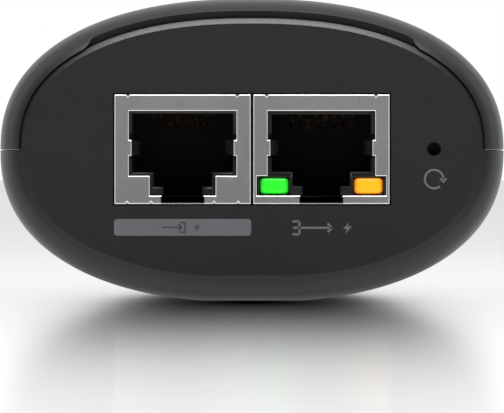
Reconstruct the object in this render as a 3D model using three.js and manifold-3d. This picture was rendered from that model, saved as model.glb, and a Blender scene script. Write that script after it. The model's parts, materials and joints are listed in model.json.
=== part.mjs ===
// Inline power-over-Ethernet injector: an oval two-piece case with two shielded network jacks in its front
// end. Millimetres, +Z up, port face towards -Y, origin under the middle of the case on the resting flat.
import * as THREE from "three";
import { mergeVertices } from "three/addons/utils/BufferGeometryUtils.js";
import Module from "manifold-3d";

const wasm = await Module();
wasm.setup();

// ---------------------------------------------------------------- Driving dimensions

// Case
const BODY_WIDTH = 60;
const BODY_HEIGHT = 36;
const BODY_LENGTH = 140;
const OVAL_POWER = 2.3; // 2 is an ellipse, more is boxier
const OVAL_STEPS = 72;
const FOOT_DEPTH = 0.2; // what the resting flat takes off the oval's underside
const WALL = 2;
const END_WALL = 2.4;
const EDGE_ROUND = 3.05; // what the rounded edge takes off the ends' outline
const EDGE_RUN = 4.6; // and how far it runs along the case
const EDGE_STEPS = 5;
const INNER_ROUND = 1.5;
const INNER_RUN = 3;
const RIM_WIDTH = 2.35; // the cover's rim round the upper half of the port face
const PRY_SLOT_WIDTH = 38;
const PRY_RIM_WIDTH = 1.5; // what the slot leaves of that rim
const PRY_SLOT_DEPTH = 1.8;

// Clearances
const PART_GAP = 0.3; // between pieces that are cut round each other
const FIT_GAP = 0.2; // between a sleeve and what sits in it
const BOARD_GAP = 0.8; // from the board's edge to the case

// Jacks
const PLUG_WIDTH = 11.8;
const PLUG_HEIGHT = 6.8;
const PLUG_DEPTH = 12.6;
const JACK_DEPTH = 21;
const JACK_RISE = 0.15; // the jacks' middle above the case's seam
const SHEET = 0.35;
const HOUSING_LIP = 0.5; // how far the moulded mouth stands inside the sheet's opening
const HOUSING_LIP_TOP = 0.45;
const MOUTH_SIDE = 1.7; // from the sheet's opening to the shield's side
const MOUTH_DROP = 1.93; // from the shield's top to its opening
const LATCH_WIDTH = 6.84;
const LATCH_STEP = 1.73;
const LATCH_BASE = 2.09; // the latch step's floor above the shield's underside
const KEY_WIDTH = 4.5;
const KEY_FLOOR = 0.9; // the same for the latch slot's floor
const SILL = 0.13; // sheet left under the opening
const SHELF = 0.96; // the wide step of the opening above the shield's underside
const SPRING_TAB_DEPTH = 0.32;
const SPRING_TAB_HEIGHT = 1.87;
const SPRING_TAB_DROP = 3.48;
const LEG_WIDTH = 1.6;
const LEG_LENGTH = 2.6;
const LEG_SETBACK = 11;

// Spring contacts
const CONTACTS = 8;
const CONTACT_PITCH = 1.02;
const CONTACT_WIDTH = 0.45;
const CONTACT_THICK = 0.3;
const CONTACT_LENGTH = 7.6;
const CONTACT_KINK = 0.86; // where the tip turns up, as a share of the length
const CONTACT_SLOPE = 18; // degrees below level
const CONTACT_SETBACK = 1.6;
const CONTACT_RISE = 0.55; // the bend above the cavity's ceiling
const GROOVE_HEIGHT = 1.15;

// Lamp windows
const LAMP_WIDTH = 3.35;
const LAMP_HEIGHT = 1.9;
const LAMP_DEPTH = 4;
const LAMP_SIDE = 0.28; // from the window to the moulding's side

// Board and screws
const BOARD_THICK = 1.6;
const BOARD_CORNER = 3;
const SCREW_RADIUS = 1.25;
const SCREW_LENGTH = 6;
const SCREW_HEAD_RADIUS = 2.2;
const SCREW_HEAD_HEIGHT = 1.5;
const BOSS_WALL = 1.2;
const SCREW_INSET = 4;

// Reset switch
const PINHOLE_RADIUS = 0.8;
const SWITCH_SIZE = 4.4;
const SWITCH_DEPTH = 3;
const PLUNGER_RADIUS = 0.95;
const PLUNGER_LENGTH = 2.4;
const PLUNGER_PROUD = 1.1;
const PLUNGER_TO_WALL = 2.2;
const RISER_THICK = 1;

// Seam lip and cover tabs
const LIP_THICK = 0.9;
const LIP_HEIGHT = 1.6;
const LIP_ROOT = 2.4;
const TAB_WIDTH = 7;
const TAB_THICK = 1.2;
const TAB_DROP = 4.8;
const TAB_ROOT = 3.6;

// Round pieces are drawn with this many sides.
const SIDES = 24;
const SMALL_SIDES = 16;

// ---------------------------------------------------------------- Sizes that follow

const JACK_WIDTH = PLUG_WIDTH + 2 * (HOUSING_LIP + MOUTH_SIDE);
const JACK_HEIGHT = LATCH_BASE + LATCH_STEP + PLUG_HEIGHT + HOUSING_LIP_TOP + MOUTH_DROP;
const JACK_PITCH = JACK_WIDTH + PART_GAP;
const OVAL_HEIGHT = BODY_HEIGHT + FOOT_DEPTH;
const SEAM_Z = BODY_HEIGHT - OVAL_HEIGHT / 2;
const FRONT = -BODY_LENGTH / 2;
const BACK = BODY_LENGTH / 2;
const INNER_FRONT = FRONT + END_WALL;
const INNER_BACK = BACK - END_WALL;
const JACK_Z = SEAM_Z + JACK_RISE;
const JACK_BOTTOM = JACK_Z - JACK_HEIGHT / 2;
const JACK_BACK = FRONT + JACK_DEPTH;
const JACKS_SIDE = (JACK_PITCH + JACK_WIDTH) / 2;
const BOARD_TOP = JACK_BOTTOM - FIT_GAP;
const BOARD_BOTTOM = BOARD_TOP - BOARD_THICK;
const BOARD_SIDE = roomHalfWidth(BOARD_BOTTOM) - BOARD_GAP;
const BOARD_FRONT = INNER_FRONT + BOARD_GAP;
const BOARD_BACK = INNER_BACK - BOARD_GAP;
const RESET_X = (JACKS_SIDE + BODY_WIDTH / 2 - EDGE_ROUND) / 2;

// Half the width of the room inside the walls at a height, from the oval's own formula.
function roomHalfWidth(z) {
  const share = Math.abs(z - SEAM_Z) / (OVAL_HEIGHT / 2 - WALL);
  return (BODY_WIDTH / 2 - WALL) * (1 - share ** OVAL_POWER) ** (1 / OVAL_POWER);
}

// ---------------------------------------------------------------- Geometry helpers

const TOOL_REACH = 1; // how far a cutting shape runs past what it cuts

function solid(geometry) {
  const bare = geometry.index ? geometry.toNonIndexed() : geometry.clone();
  bare.deleteAttribute("normal");
  bare.deleteAttribute("uv");
  const merged = mergeVertices(bare, 1e-4);
  const mesh = new wasm.Mesh({
    numProp: 3,
    vertProperties: merged.attributes.position.array,
    triVerts: Uint32Array.from(merged.index.array),
  });
  return new wasm.Manifold(mesh);
}

function geometryOf(made) {
  const mesh = made.getMesh();
  const geometry = new THREE.BufferGeometry();
  const corners = Float32Array.from(mesh.vertProperties);
  geometry.setAttribute("position", new THREE.BufferAttribute(corners, 3));
  geometry.setIndex(Array.from(mesh.triVerts));
  geometry.computeVertexNormals();
  return geometry;
}

const join = (first, ...rest) =>
  geometryOf(rest.reduce((made, next) => made.add(solid(next)), solid(first)));

const cut = (first, ...tools) =>
  geometryOf(tools.reduce((made, tool) => made.subtract(solid(tool)), solid(first)));

const overlap = (first, second) => geometryOf(solid(first).intersect(solid(second)));

// A box from its lowest and highest X, Y and Z.
function block([x0, x1], [y0, y1], [z0, z1]) {
  const geometry = new THREE.BoxGeometry(x1 - x0, y1 - y0, z1 - z0);
  return geometry.translate((x0 + x1) / 2, (y0 + y1) / 2, (z0 + z1) / 2);
}

// A box standing on Z = 0 with its middle on the Z axis.
const standing = (width, depth, height) =>
  block([-width / 2, width / 2], [-depth / 2, depth / 2], [0, height]);

// An outline drawn in X and Z, carried along Y. A round eases both ends inwards, over its run.
function alongY(shape, start, end, round = 0, run = round, steps = 1) {
  const geometry = new THREE.ExtrudeGeometry(shape, {
    depth: end - start - 2 * run,
    bevelEnabled: round > 0,
    bevelThickness: run,
    bevelSize: round,
    bevelOffset: -round,
    bevelSegments: steps,
  });
  return geometry.rotateX(Math.PI / 2).translate(0, end - run, 0);
}

// An outline drawn in Y and Z, carried along X.
function alongX(shape, start, end) {
  const geometry = new THREE.ExtrudeGeometry(shape, { depth: end - start, bevelEnabled: false });
  const across = new THREE.Vector3(1, 0, 0);
  const along = new THREE.Vector3(0, 1, 0);
  const up = new THREE.Vector3(0, 0, 1);
  geometry.applyMatrix4(new THREE.Matrix4().makeBasis(along, up, across));
  return geometry.translate(start, 0, 0);
}

// A profile of [radius, height] pairs, turned round the Z axis.
function turned(profile, sides = SIDES) {
  const points = profile.map(([radius, height]) => new THREE.Vector2(radius, height));
  return new THREE.LatheGeometry(points, sides).rotateX(Math.PI / 2);
}

function rod(radius, start, end, sides = SIDES) {
  return turned([[0, start], [radius, start], [radius, end], [0, end]], sides);
}

const outline = (points) => new THREE.Shape(points.map(([x, y]) => new THREE.Vector2(x, y)));

// A shape symmetrical about its upright axis, from its right half listed from the bottom up.
const mirrored = (half) => outline([...half, ...half.map(([x, y]) => [-x, y]).reverse()]);

// ---------------------------------------------------------------- The assembly and its finishes

const part = new THREE.Group();

const CHARCOAL = [0x2f2f30, 0.5, 0];
const PLATED = [0x8a8c8b, 0.35, 1];
const BLACK_MOULDED = [0x1b1b1c, 0.55, 0];
const GOLD = [0xd2a24c, 0.25, 1];
const GREEN_LAMP = [0x2eff2a, 0.3, 0];
const ORANGE_LAMP = [0xffb010, 0.3, 0];
const BOARD_GREEN = [0x1d4a2c, 0.45, 0];
const STEEL = [0xb5b8bb, 0.3, 1];
const ALUMINIUM = [0xc4c7ca, 0.35, 1];
const FERRITE = [0x2a2a2c, 0.7, 0];
const COPPER = [0xb5652c, 0.3, 1];
const EPOXY = [0x161617, 0.45, 0];
const SLEEVE = [0x20242c, 0.35, 0];
const CREAM = [0xcfc6ae, 0.6, 0];
const PAD_GREY = [0x9a9c9e, 0.8, 0];
const TAPE = [0xc9a236, 0.4, 0];

function add(name, geometry, [color, roughness, metalness], place = [0, 0, 0], parent = part) {
  const material = new THREE.MeshStandardMaterial({ color, roughness, metalness });
  const mesh = new THREE.Mesh(geometry, material);
  mesh.name = name;
  mesh.position.set(...place);
  parent.add(mesh);
  return mesh;
}

// ---------------------------------------------------------------- Case

// The case's section: a superellipse, moved inwards along its own normal.
function oval(inset) {
  const width = BODY_WIDTH / 2;
  const height = OVAL_HEIGHT / 2;
  const points = [];
  for (let step = 0; step < OVAL_STEPS; step += 1) {
    const angle = (2 * Math.PI * step) / OVAL_STEPS;
    const c = Math.abs(Math.cos(angle)) < 1e-9 ? 0 : Math.cos(angle);
    const s = Math.abs(Math.sin(angle)) < 1e-9 ? 0 : Math.sin(angle);
    const reach = 2 / OVAL_POWER;
    const x = width * Math.sign(c) * Math.abs(c) ** reach;
    const z = height * Math.sign(s) * Math.abs(s) ** reach;
    const normal = new THREE.Vector2(
      (Math.sign(c) * Math.abs(c) ** (2 - reach)) / width,
      (Math.sign(s) * Math.abs(s) ** (2 - reach)) / height,
    ).normalize();
    points.push([x - inset * normal.x, SEAM_Z + z - inset * normal.y]);
  }
  return outline(points);
}

const everywhere = [-BODY_WIDTH, BODY_WIDTH];
const fullLength = [FRONT - TOOL_REACH, BACK + TOOL_REACH];

function caseShell() {
  const outer = alongY(oval(0), FRONT, BACK, EDGE_ROUND, EDGE_RUN, EDGE_STEPS);
  const hollow = alongY(oval(WALL), INNER_FRONT, INNER_BACK, INNER_ROUND, INNER_RUN);
  const belowFoot = block(everywhere, fullLength, [-BODY_HEIGHT, 0]);
  return cut(outer, hollow, belowFoot);
}

// The space of the port face's upper half, inside the cover's rim.
const facePlug = (gap) =>
  alongY(oval(RIM_WIDTH - gap), FRONT - TOOL_REACH, INNER_FRONT + gap);

const jackWindow = block(
  [-JACKS_SIDE - PART_GAP, JACKS_SIDE + PART_GAP],
  [FRONT - TOOL_REACH, INNER_FRONT + TOOL_REACH],
  [JACK_BOTTOM - PART_GAP, JACK_BOTTOM + JACK_HEIGHT + PART_GAP],
);

function pinhole() {
  const hole = rod(PINHOLE_RADIUS, -END_WALL - TOOL_REACH, TOOL_REACH).rotateX(-Math.PI / 2);
  return hole.translate(RESET_X, INNER_FRONT, JACK_Z);
}

const screwPlaces = [-1, 1].flatMap((side) => [
  [side * (BOARD_SIDE - SCREW_INSET), JACK_BACK + SCREW_INSET],
  [side * (BOARD_SIDE - SCREW_INSET), BOARD_BACK - SCREW_INSET],
]);

// A round post from the case's floor to the board, with the screw's hole in it.
function boss([x, y]) {
  const radius = SCREW_RADIUS + PART_GAP + BOSS_WALL;
  const post = rod(radius, 0, BOARD_BOTTOM, SMALL_SIDES).translate(x, y, 0);
  return overlap(post, alongY(oval(WALL / 2), FRONT, BACK));
}

function bossHole([x, y]) {
  const depth = SCREW_LENGTH - BOARD_THICK + PART_GAP;
  const hole = rod(SCREW_RADIUS + PART_GAP, BOARD_BOTTOM - depth, BOARD_TOP, SMALL_SIDES);
  return hole.translate(x, y, 0);
}

const INNER_SIDE = BODY_WIDTH / 2 - WALL;
const LIP_OUT = INNER_SIDE - PART_GAP;
const LIP_IN = LIP_OUT - LIP_THICK;
const LIP_ENDS = [JACK_BACK, INNER_BACK - 2 * INNER_RUN];

// The lip that stands up inside the cover along one side, on a root in the base's wall.
function seamLip(side) {
  const fin = block([LIP_IN, LIP_OUT], LIP_ENDS, [SEAM_Z - LIP_ROOT, SEAM_Z + LIP_HEIGHT]);
  const top = SEAM_Z - PART_GAP;
  const root = block([LIP_IN, INNER_SIDE + WALL / 2], LIP_ENDS, [SEAM_Z - LIP_ROOT, top]);
  const lip = join(fin, root);
  return side < 0 ? lip.rotateZ(Math.PI).translate(0, LIP_ENDS[0] + LIP_ENDS[1], 0) : lip;
}

// A tab that hangs from the cover's wall down inside the lip.
function coverTab(side, y) {
  const out = LIP_IN - PART_GAP;
  const along = [-TAB_WIDTH / 2, TAB_WIDTH / 2];
  const bottom = SEAM_Z + LIP_HEIGHT + PART_GAP;
  const tab = block([out - TAB_THICK, out], along, [SEAM_Z - TAB_DROP, bottom + TAB_ROOT]);
  const root = block([out - TAB_THICK, INNER_SIDE + WALL / 2], along, [bottom, bottom + TAB_ROOT]);
  const hung = overlap(join(tab, root), alongY(oval(WALL / 2), FRONT, BACK));
  return hung.rotateZ(side < 0 ? Math.PI : 0).translate(0, y, 0);
}

const shell = caseShell();

function baseShell() {
  const lower = block(everywhere, fullLength, [-BODY_HEIGHT, SEAM_Z]);
  const kept = overlap(shell, join(lower, facePlug(0)));
  const lips = [seamLip(-1), seamLip(1)];
  const built = join(kept, ...screwPlaces.map(boss), ...lips);
  return cut(built, jackWindow, pinhole(), ...screwPlaces.map(bossHole));
}

function topCover() {
  const below = block(everywhere, fullLength, [-BODY_HEIGHT, SEAM_Z + PART_GAP]);
  const slotBox = block(
    [-PRY_SLOT_WIDTH / 2, PRY_SLOT_WIDTH / 2],
    [FRONT - TOOL_REACH, FRONT + PRY_SLOT_DEPTH],
    [SEAM_Z, 2 * BODY_HEIGHT],
  );
  const underRim = alongY(oval(PRY_RIM_WIDTH), FRONT - TOOL_REACH, FRONT + PRY_SLOT_DEPTH);
  const slot = overlap(underRim, slotBox);
  const cover = cut(shell, below, facePlug(PART_GAP), slot);
  const [first, last] = LIP_ENDS;
  const places = [first + TAB_WIDTH, last - TAB_WIDTH];
  const tabs = places.flatMap((y) => [coverTab(-1, y), coverTab(1, y)]);
  return join(cover, ...tabs);
}

add("base_shell", baseShell(), CHARCOAL);
add("top_cover", topCover(), CHARCOAL);

// ---------------------------------------------------------------- Jacks
// Each jack is built in its own group: X = 0 at its middle, Y = 0 at its front, Z = 0 at its underside.

const MOUTH_TOP = JACK_HEIGHT - MOUTH_DROP;
const CAVITY_TOP = MOUTH_TOP - HOUSING_LIP_TOP;
const CAVITY_BOTTOM = CAVITY_TOP - PLUG_HEIGHT;
const MOUTH_BOTTOM = CAVITY_BOTTOM - HOUSING_LIP;
const MOUTH_HALF = PLUG_WIDTH / 2 + HOUSING_LIP;
const INSIDE_HALF = JACK_WIDTH / 2 - SHEET;
const HOUSING_HALF = INSIDE_HALF - FIT_GAP;
const legX = JACK_WIDTH / 2 - SHEET / 2;

// The sheet's opening, from its right half listed from the bottom up, with the ground springs' tabs.
function mouthOutline(lowerHalf) {
  const tabTop = MOUTH_TOP - SPRING_TAB_DROP;
  const tabBottom = tabTop - SPRING_TAB_HEIGHT;
  const tabX = MOUTH_HALF - SPRING_TAB_DEPTH;
  const keyHalf = KEY_WIDTH / 2 + HOUSING_LIP / 2;
  return mirrored([
    [keyHalf, SILL],
    [keyHalf, SHELF],
    [lowerHalf, SHELF],
    [lowerHalf, MOUTH_BOTTOM],
    [MOUTH_HALF, MOUTH_BOTTOM],
    [MOUTH_HALF, tabBottom],
    [tabX, tabBottom],
    [tabX, tabTop],
    [MOUTH_HALF, tabTop],
    [MOUTH_HALF, MOUTH_TOP],
  ]);
}

// A five-sided sheet can with two legs, open underneath.
function jackShield(lowerHalf) {
  const can = block([-JACK_WIDTH / 2, JACK_WIDTH / 2], [0, JACK_DEPTH], [0, JACK_HEIGHT]);
  const room = block(
    [-INSIDE_HALF, INSIDE_HALF],
    [SHEET, JACK_DEPTH - SHEET],
    [-TOOL_REACH, JACK_HEIGHT - SHEET],
  );
  const mouth = alongY(mouthOutline(lowerHalf), -TOOL_REACH, SHEET + FIT_GAP / 2);
  const legs = [-1, 1].map((side) =>
    block(
      [side * legX - SHEET / 2, side * legX + SHEET / 2],
      [LEG_SETBACK, LEG_SETBACK + LEG_WIDTH],
      [-LEG_LENGTH, JACK_HEIGHT / 2],
    ),
  );
  return join(cut(can, room, mouth), ...legs);
}

const contactX = (index) => (index - (CONTACTS - 1) / 2) * CONTACT_PITCH;

// The moulded insert: a block with the plug's stepped cavity and a groove over each contact.
function jackHousing(corners) {
  const front = SHEET + FIT_GAP;
  const back = JACK_DEPTH - SHEET - FIT_GAP;
  const top = JACK_HEIGHT - SHEET - FIT_GAP;
  const body = block([-HOUSING_HALF, HOUSING_HALF], [front, back], [0, top]);
  const cavity = alongY(
    mirrored([
      [KEY_WIDTH / 2, KEY_FLOOR],
      [KEY_WIDTH / 2, LATCH_BASE],
      [LATCH_WIDTH / 2, LATCH_BASE],
      [LATCH_WIDTH / 2, CAVITY_BOTTOM],
      [PLUG_WIDTH / 2, CAVITY_BOTTOM],
      [PLUG_WIDTH / 2, CAVITY_TOP],
    ]),
    -TOOL_REACH,
    PLUG_DEPTH,
  );
  const half = CONTACT_WIDTH / 2 + FIT_GAP / 2;
  const grooves = Array.from({ length: CONTACTS }, (_, index) =>
    block(
      [contactX(index) - half, contactX(index) + half],
      [CONTACT_SETBACK - TOOL_REACH / 2, PLUG_DEPTH - TOOL_REACH],
      [CAVITY_TOP - TOOL_REACH, CAVITY_TOP + GROOVE_HEIGHT],
    ),
  );
  return cut(corners ? join(body, ...corners) : body, cavity, ...grooves);
}

// The lamp jack's lower corners, which come forward to the front through the cut-away sheet.
const LAMP_X = HOUSING_HALF - LAMP_SIDE - LAMP_WIDTH / 2;
const LAMP_Z = (SHELF + MOUTH_BOTTOM - LAMP_HEIGHT) / 2;

function lampCorner(side) {
  const middle = (side * (KEY_WIDTH / 2 + HOUSING_HALF)) / 2;
  const half = (HOUSING_HALF - KEY_WIDTH / 2) / 2;
  return block(
    [middle - half, middle + half],
    [FIT_GAP / 2, 2 * SHEET + FIT_GAP],
    [SHELF + FIT_GAP / 2, MOUTH_BOTTOM - FIT_GAP / 2],
  );
}

function lampPocket(side) {
  const half = LAMP_WIDTH / 2 + FIT_GAP / 2;
  return block(
    [side * LAMP_X - half, side * LAMP_X + half],
    [-TOOL_REACH, LAMP_DEPTH + FIT_GAP],
    [LAMP_Z - FIT_GAP / 2, LAMP_Z + LAMP_HEIGHT + FIT_GAP / 2],
  );
}

const lampWindow = () =>
  block([-LAMP_WIDTH / 2, LAMP_WIDTH / 2], [0, LAMP_DEPTH], [0, LAMP_HEIGHT]);

// One spring contact in Y and Z from its bend: a sloping arm with an upturned tip.
function contactOutline() {
  const slope = THREE.MathUtils.degToRad(CONTACT_SLOPE);
  const kink = CONTACT_LENGTH * CONTACT_KINK;
  const bend = [kink * Math.cos(slope), -kink * Math.sin(slope)];
  const tip = [CONTACT_LENGTH * Math.cos(slope), bend[1] + CONTACT_THICK];
  const rise = CONTACT_THICK / Math.cos(slope);
  const down = ([y, z]) => [y, z - rise];
  return outline([[0, 0], [0, -rise], down(bend), down(tip), tip, bend]);
}

function addJack(name, x, geometries) {
  const jack = new THREE.Group();
  jack.position.set(x, FRONT, JACK_BOTTOM);
  part.add(jack);
  add(`${name}_shield`, geometries.shield, PLATED, [0, 0, 0], jack);
  add(`${name}_housing`, geometries.housing, BLACK_MOULDED, [0, 0, 0], jack);
  for (let index = 0; index < CONTACTS; index += 1) {
    const contact = alongX(contactOutline(), -CONTACT_WIDTH / 2, CONTACT_WIDTH / 2);
    const place = [contactX(index), CONTACT_SETBACK, CAVITY_TOP + CONTACT_RISE];
    add(`${name}_contact_${index + 1}`, contact, GOLD, place, jack);
  }
  return jack;
}

const plainMouth = LATCH_WIDTH / 2 + HOUSING_LIP;
addJack("jack_in", -JACK_PITCH / 2, {
  shield: jackShield(plainMouth),
  housing: jackHousing(),
});

const lampHousing = cut(jackHousing([lampCorner(-1), lampCorner(1)]), lampPocket(-1), lampPocket(1));
const lampJack = addJack("jack_out", JACK_PITCH / 2, {
  shield: jackShield(INSIDE_HALF),
  housing: lampHousing,
});
add("lamp_green", lampWindow(), GREEN_LAMP, [-LAMP_X, 0, LAMP_Z], lampJack);
add("lamp_orange", lampWindow(), ORANGE_LAMP, [LAMP_X, 0, LAMP_Z], lampJack);

// ---------------------------------------------------------------- Board and its screws

function mainBoard() {
  const plate = outline([
    [BOARD_SIDE - BOARD_CORNER, BOARD_FRONT],
    [BOARD_SIDE, BOARD_FRONT + BOARD_CORNER],
    [BOARD_SIDE, BOARD_BACK - BOARD_CORNER],
    [BOARD_SIDE - BOARD_CORNER, BOARD_BACK],
    [BOARD_CORNER - BOARD_SIDE, BOARD_BACK],
    [-BOARD_SIDE, BOARD_BACK - BOARD_CORNER],
    [-BOARD_SIDE, BOARD_FRONT + BOARD_CORNER],
    [BOARD_CORNER - BOARD_SIDE, BOARD_FRONT],
  ]);
  const board = new THREE.ExtrudeGeometry(plate, { depth: BOARD_THICK, bevelEnabled: false });
  board.translate(0, 0, BOARD_BOTTOM);
  const span = [BOARD_BOTTOM - TOOL_REACH, BOARD_TOP + TOOL_REACH];
  const legSlots = [-1, 1].flatMap((jack) =>
    [-1, 1].map((side) => {
      const x = (jack * JACK_PITCH) / 2 + side * legX;
      const half = SHEET / 2 + PART_GAP;
      const start = FRONT + LEG_SETBACK - PART_GAP;
      return block([x - half, x + half], [start, start + LEG_WIDTH + 2 * PART_GAP], span);
    }),
  );
  const holes = screwPlaces.map(([x, y]) =>
    rod(SCREW_RADIUS + PART_GAP, ...span, SMALL_SIDES).translate(x, y, 0),
  );
  return cut(board, ...legSlots, ...holes);
}

// A pan-head screw with a cross recess, its head resting on Z = 0.
function boardScrew() {
  const crown = SCREW_HEAD_RADIUS * 0.6;
  const shoulder = SCREW_HEAD_HEIGHT * 0.55;
  const body = turned(
    [
      [0, -SCREW_LENGTH],
      [SCREW_RADIUS * 0.5, -SCREW_LENGTH],
      [SCREW_RADIUS, SCREW_RADIUS - SCREW_LENGTH],
      [SCREW_RADIUS, 0],
      [SCREW_HEAD_RADIUS, 0],
      [SCREW_HEAD_RADIUS, shoulder],
      [crown, SCREW_HEAD_HEIGHT],
      [0, SCREW_HEAD_HEIGHT],
    ],
    SMALL_SIDES,
  );
  const arm = SCREW_HEAD_RADIUS * 0.5;
  const half = SCREW_HEAD_RADIUS * 0.13;
  const depth = [SCREW_HEAD_HEIGHT * 0.4, SCREW_HEAD_HEIGHT + TOOL_REACH];
  return cut(body, block([-arm, arm], [-half, half], depth), block([-half, half], [-arm, arm], depth));
}

add("main_board", mainBoard(), BOARD_GREEN);
screwPlaces.forEach(([x, y], index) => {
  add(`board_screw_${index + 1}`, boardScrew(), STEEL, [x, y, BOARD_TOP]);
});

// ---------------------------------------------------------------- Reset switch

const PLUNGER_TIP = INNER_FRONT + PLUNGER_TO_WALL;
const SWITCH_FRONT = PLUNGER_TIP + PLUNGER_PROUD;
const SWITCH_BACK = SWITCH_FRONT + SWITCH_DEPTH;

// The tact switch's case, with the bore that its plunger slides in.
function switchBody() {
  const half = SWITCH_SIZE / 2;
  const body = block([-half, half], [0, SWITCH_DEPTH], [-half, half]);
  const bore = rod(PLUNGER_RADIUS + FIT_GAP, -TOOL_REACH, PLUNGER_LENGTH, SMALL_SIDES);
  return cut(body, bore.rotateX(-Math.PI / 2));
}

// The small upright board behind the switch: a head round it, on a stem that stands on the main board.
function resetRiser() {
  const half = SWITCH_SIZE / 2 + PART_GAP;
  const thick = [SWITCH_BACK, SWITCH_BACK + RISER_THICK];
  const head = block([RESET_X - half, RESET_X + half], thick, [JACK_Z - half, JACK_Z + half]);
  const stem = block([JACKS_SIDE + BOARD_GAP, BOARD_SIDE], thick, [BOARD_TOP, JACK_Z]);
  return join(head, stem);
}

add("reset_riser_board", resetRiser(), BOARD_GREEN);
add("reset_switch_body", switchBody(), STEEL, [RESET_X, SWITCH_FRONT, JACK_Z]);
const plunger = rod(PLUNGER_RADIUS, 0, PLUNGER_LENGTH, SMALL_SIDES).rotateX(-Math.PI / 2);
add("reset_plunger", plunger, EPOXY, [RESET_X, PLUNGER_TIP, JACK_Z]);

// ---------------------------------------------------------------- Parts on the board
// A place is a share of the room behind the jacks, and a share of the board's half width.

const electronics = new THREE.Group();
electronics.position.set(0, JACK_BACK, BOARD_TOP);
part.add(electronics);

const spot = (across, along, rise = 0) => [
  across * BOARD_SIDE,
  along * (BOARD_BACK - JACK_BACK),
  rise,
];

function place(name, geometry, look, across, along, rise = 0) {
  return add(name, geometry, look, spot(across, along, rise), electronics);
}

// Line transformers in moulded packages, one behind each jack and a little narrower.
const MAGNETICS_SIDE = 0.8;
const MAGNETICS_DEPTH = 11;
const MAGNETICS_HEIGHT = 5.6;
const MAGNETICS_ALONG = 0.14;
const magneticsWidth = JACK_WIDTH - 2 * MAGNETICS_SIDE;
const behindJack = JACK_PITCH / 2 / BOARD_SIDE;
const magnetics = () => standing(magneticsWidth, MAGNETICS_DEPTH, MAGNETICS_HEIGHT);
place("magnetics_in", magnetics(), EPOXY, -behindJack, MAGNETICS_ALONG);
place("magnetics_out", magnetics(), EPOXY, behindJack, MAGNETICS_ALONG);

// Flat moulded packages: name, width, depth, height, then the place.
const PACKAGES = [
  ["bridge_rectifier_1", 6, 5, 2.2, -0.78, 0.25],
  ["bridge_rectifier_2", 6, 5, 2.2, -0.78, 0.31],
  ["powered_device_controller", 6, 6, 1.1, -0.28, 0.265],
  ["power_sourcing_controller", 6, 6, 1.1, 0.22, 0.265],
  ["processor_chip", 7, 7, 1.2, 0.8, 0.228],
  ["memory_chip", 5, 4, 1.5, 0.8, 0.3],
  ["optocoupler", 4.6, 6.4, 3.2, 0.02, 0.745],
  ["rectifier_diode", 7, 4.4, 2.3, -0.36, 0.745],
];
PACKAGES.forEach(([name, width, depth, height, across, along]) => {
  place(name, standing(width, depth, height), EPOXY, across, along);
});
place("clock_crystal", standing(3.2, 2.5, 0.9), STEEL, 0.48, 0.25);

// A round can standing on the board, with a rolled groove near its foot and an eased top edge.
const CAN_GROOVE = [1.6, 2, 2.4, 2.8]; // heights where the groove starts, is deepest, and ends
const CAN_GROOVE_SHARE = 0.08; // the groove's depth as a share of the radius
const CAN_EASE_SHARE = 0.12; // and the eased edge's size
const INPUT_CAN = [5, 15]; // radius and height
const OUTPUT_CAN = [4, 12];

function capacitor(radius, height) {
  const groove = radius * CAN_GROOVE_SHARE;
  const ease = radius * CAN_EASE_SHARE;
  return turned([
    [0, 0],
    [radius - ease, 0],
    [radius, ease],
    [radius, CAN_GROOVE[0]],
    [radius - groove, CAN_GROOVE[1]],
    [radius - groove, CAN_GROOVE[2]],
    [radius, CAN_GROOVE[3]],
    [radius, height - ease],
    [radius - ease, height],
    [0, height],
  ]);
}

place("input_capacitor", capacitor(...INPUT_CAN), SLEEVE, 0.7, 0.44);
place("output_capacitor_1", capacitor(...OUTPUT_CAN), SLEEVE, 0.62, 0.78);
place("output_capacitor_2", capacitor(...OUTPUT_CAN), SLEEVE, 0.62, 0.89);

const FUSE_RADIUS = 4.1;
const FUSE_HEIGHT = 7.6;
place("line_fuse", rod(FUSE_RADIUS, 0, FUSE_HEIGHT), EPOXY, 0.28, 0.38);

// A disc lying on its edge, with its leads' side down.
const DISC_RADIUS = 3.4;
const DISC_THICK = 2.6;
const suppressor = rod(DISC_RADIUS, -DISC_THICK / 2, DISC_THICK / 2).rotateX(Math.PI / 2);
place("surge_suppressor", suppressor, CREAM, 0.02, 0.315, DISC_RADIUS);

// Common-mode choke: a ring core lying flat, with a winding round each side.
const RING_OUT = 5.6;
const RING_IN = 3;
const RING_HEIGHT = 5;
const WIRE = 0.9;

function ring(inner, outer, bottom, top) {
  return turned([
    [inner, bottom],
    [outer, bottom],
    [outer, top],
    [inner, top],
    [inner, bottom],
  ]);
}

function ringWinding(side) {
  const gap = FIT_GAP;
  const wrap = ring(RING_IN - WIRE, RING_OUT + WIRE, -WIRE, RING_HEIGHT + WIRE);
  const core = ring(RING_IN - gap, RING_OUT + gap, -gap, RING_HEIGHT + gap);
  const slab = side < 0 ? [-2 * RING_OUT, -RING_IN / 2] : [RING_IN / 2, 2 * RING_OUT];
  return overlap(cut(wrap, core), block(slab, [-2 * RING_OUT, 2 * RING_OUT], everywhere));
}

const CHOKE = [-0.44, 0.4, WIRE];
place("choke_core", ring(RING_IN, RING_OUT, 0, RING_HEIGHT), FERRITE, ...CHOKE);
place("choke_winding_1", ringWinding(-1), COPPER, ...CHOKE);
place("choke_winding_2", ringWinding(1), COPPER, ...CHOKE);

// Isolating transformer: a flat core with two windows, a flanged bobbin on its middle leg, and the winding.
const CORE_WIDTH = 22;
const CORE_DEPTH = 19;
const CORE_HEIGHT = 8;
const CORE_LEG = 3;
const CORE_MIDDLE = 5;
const BOBBIN_WALL = 0.7;
const FLANGE_HEIGHT = 14;
const FLANGE_THICK = 1;
const TAPE_SUNK = 0.6; // how far the taped winding lies below the flanges' edge
const TAPE_CORNER = 1.6;

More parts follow.
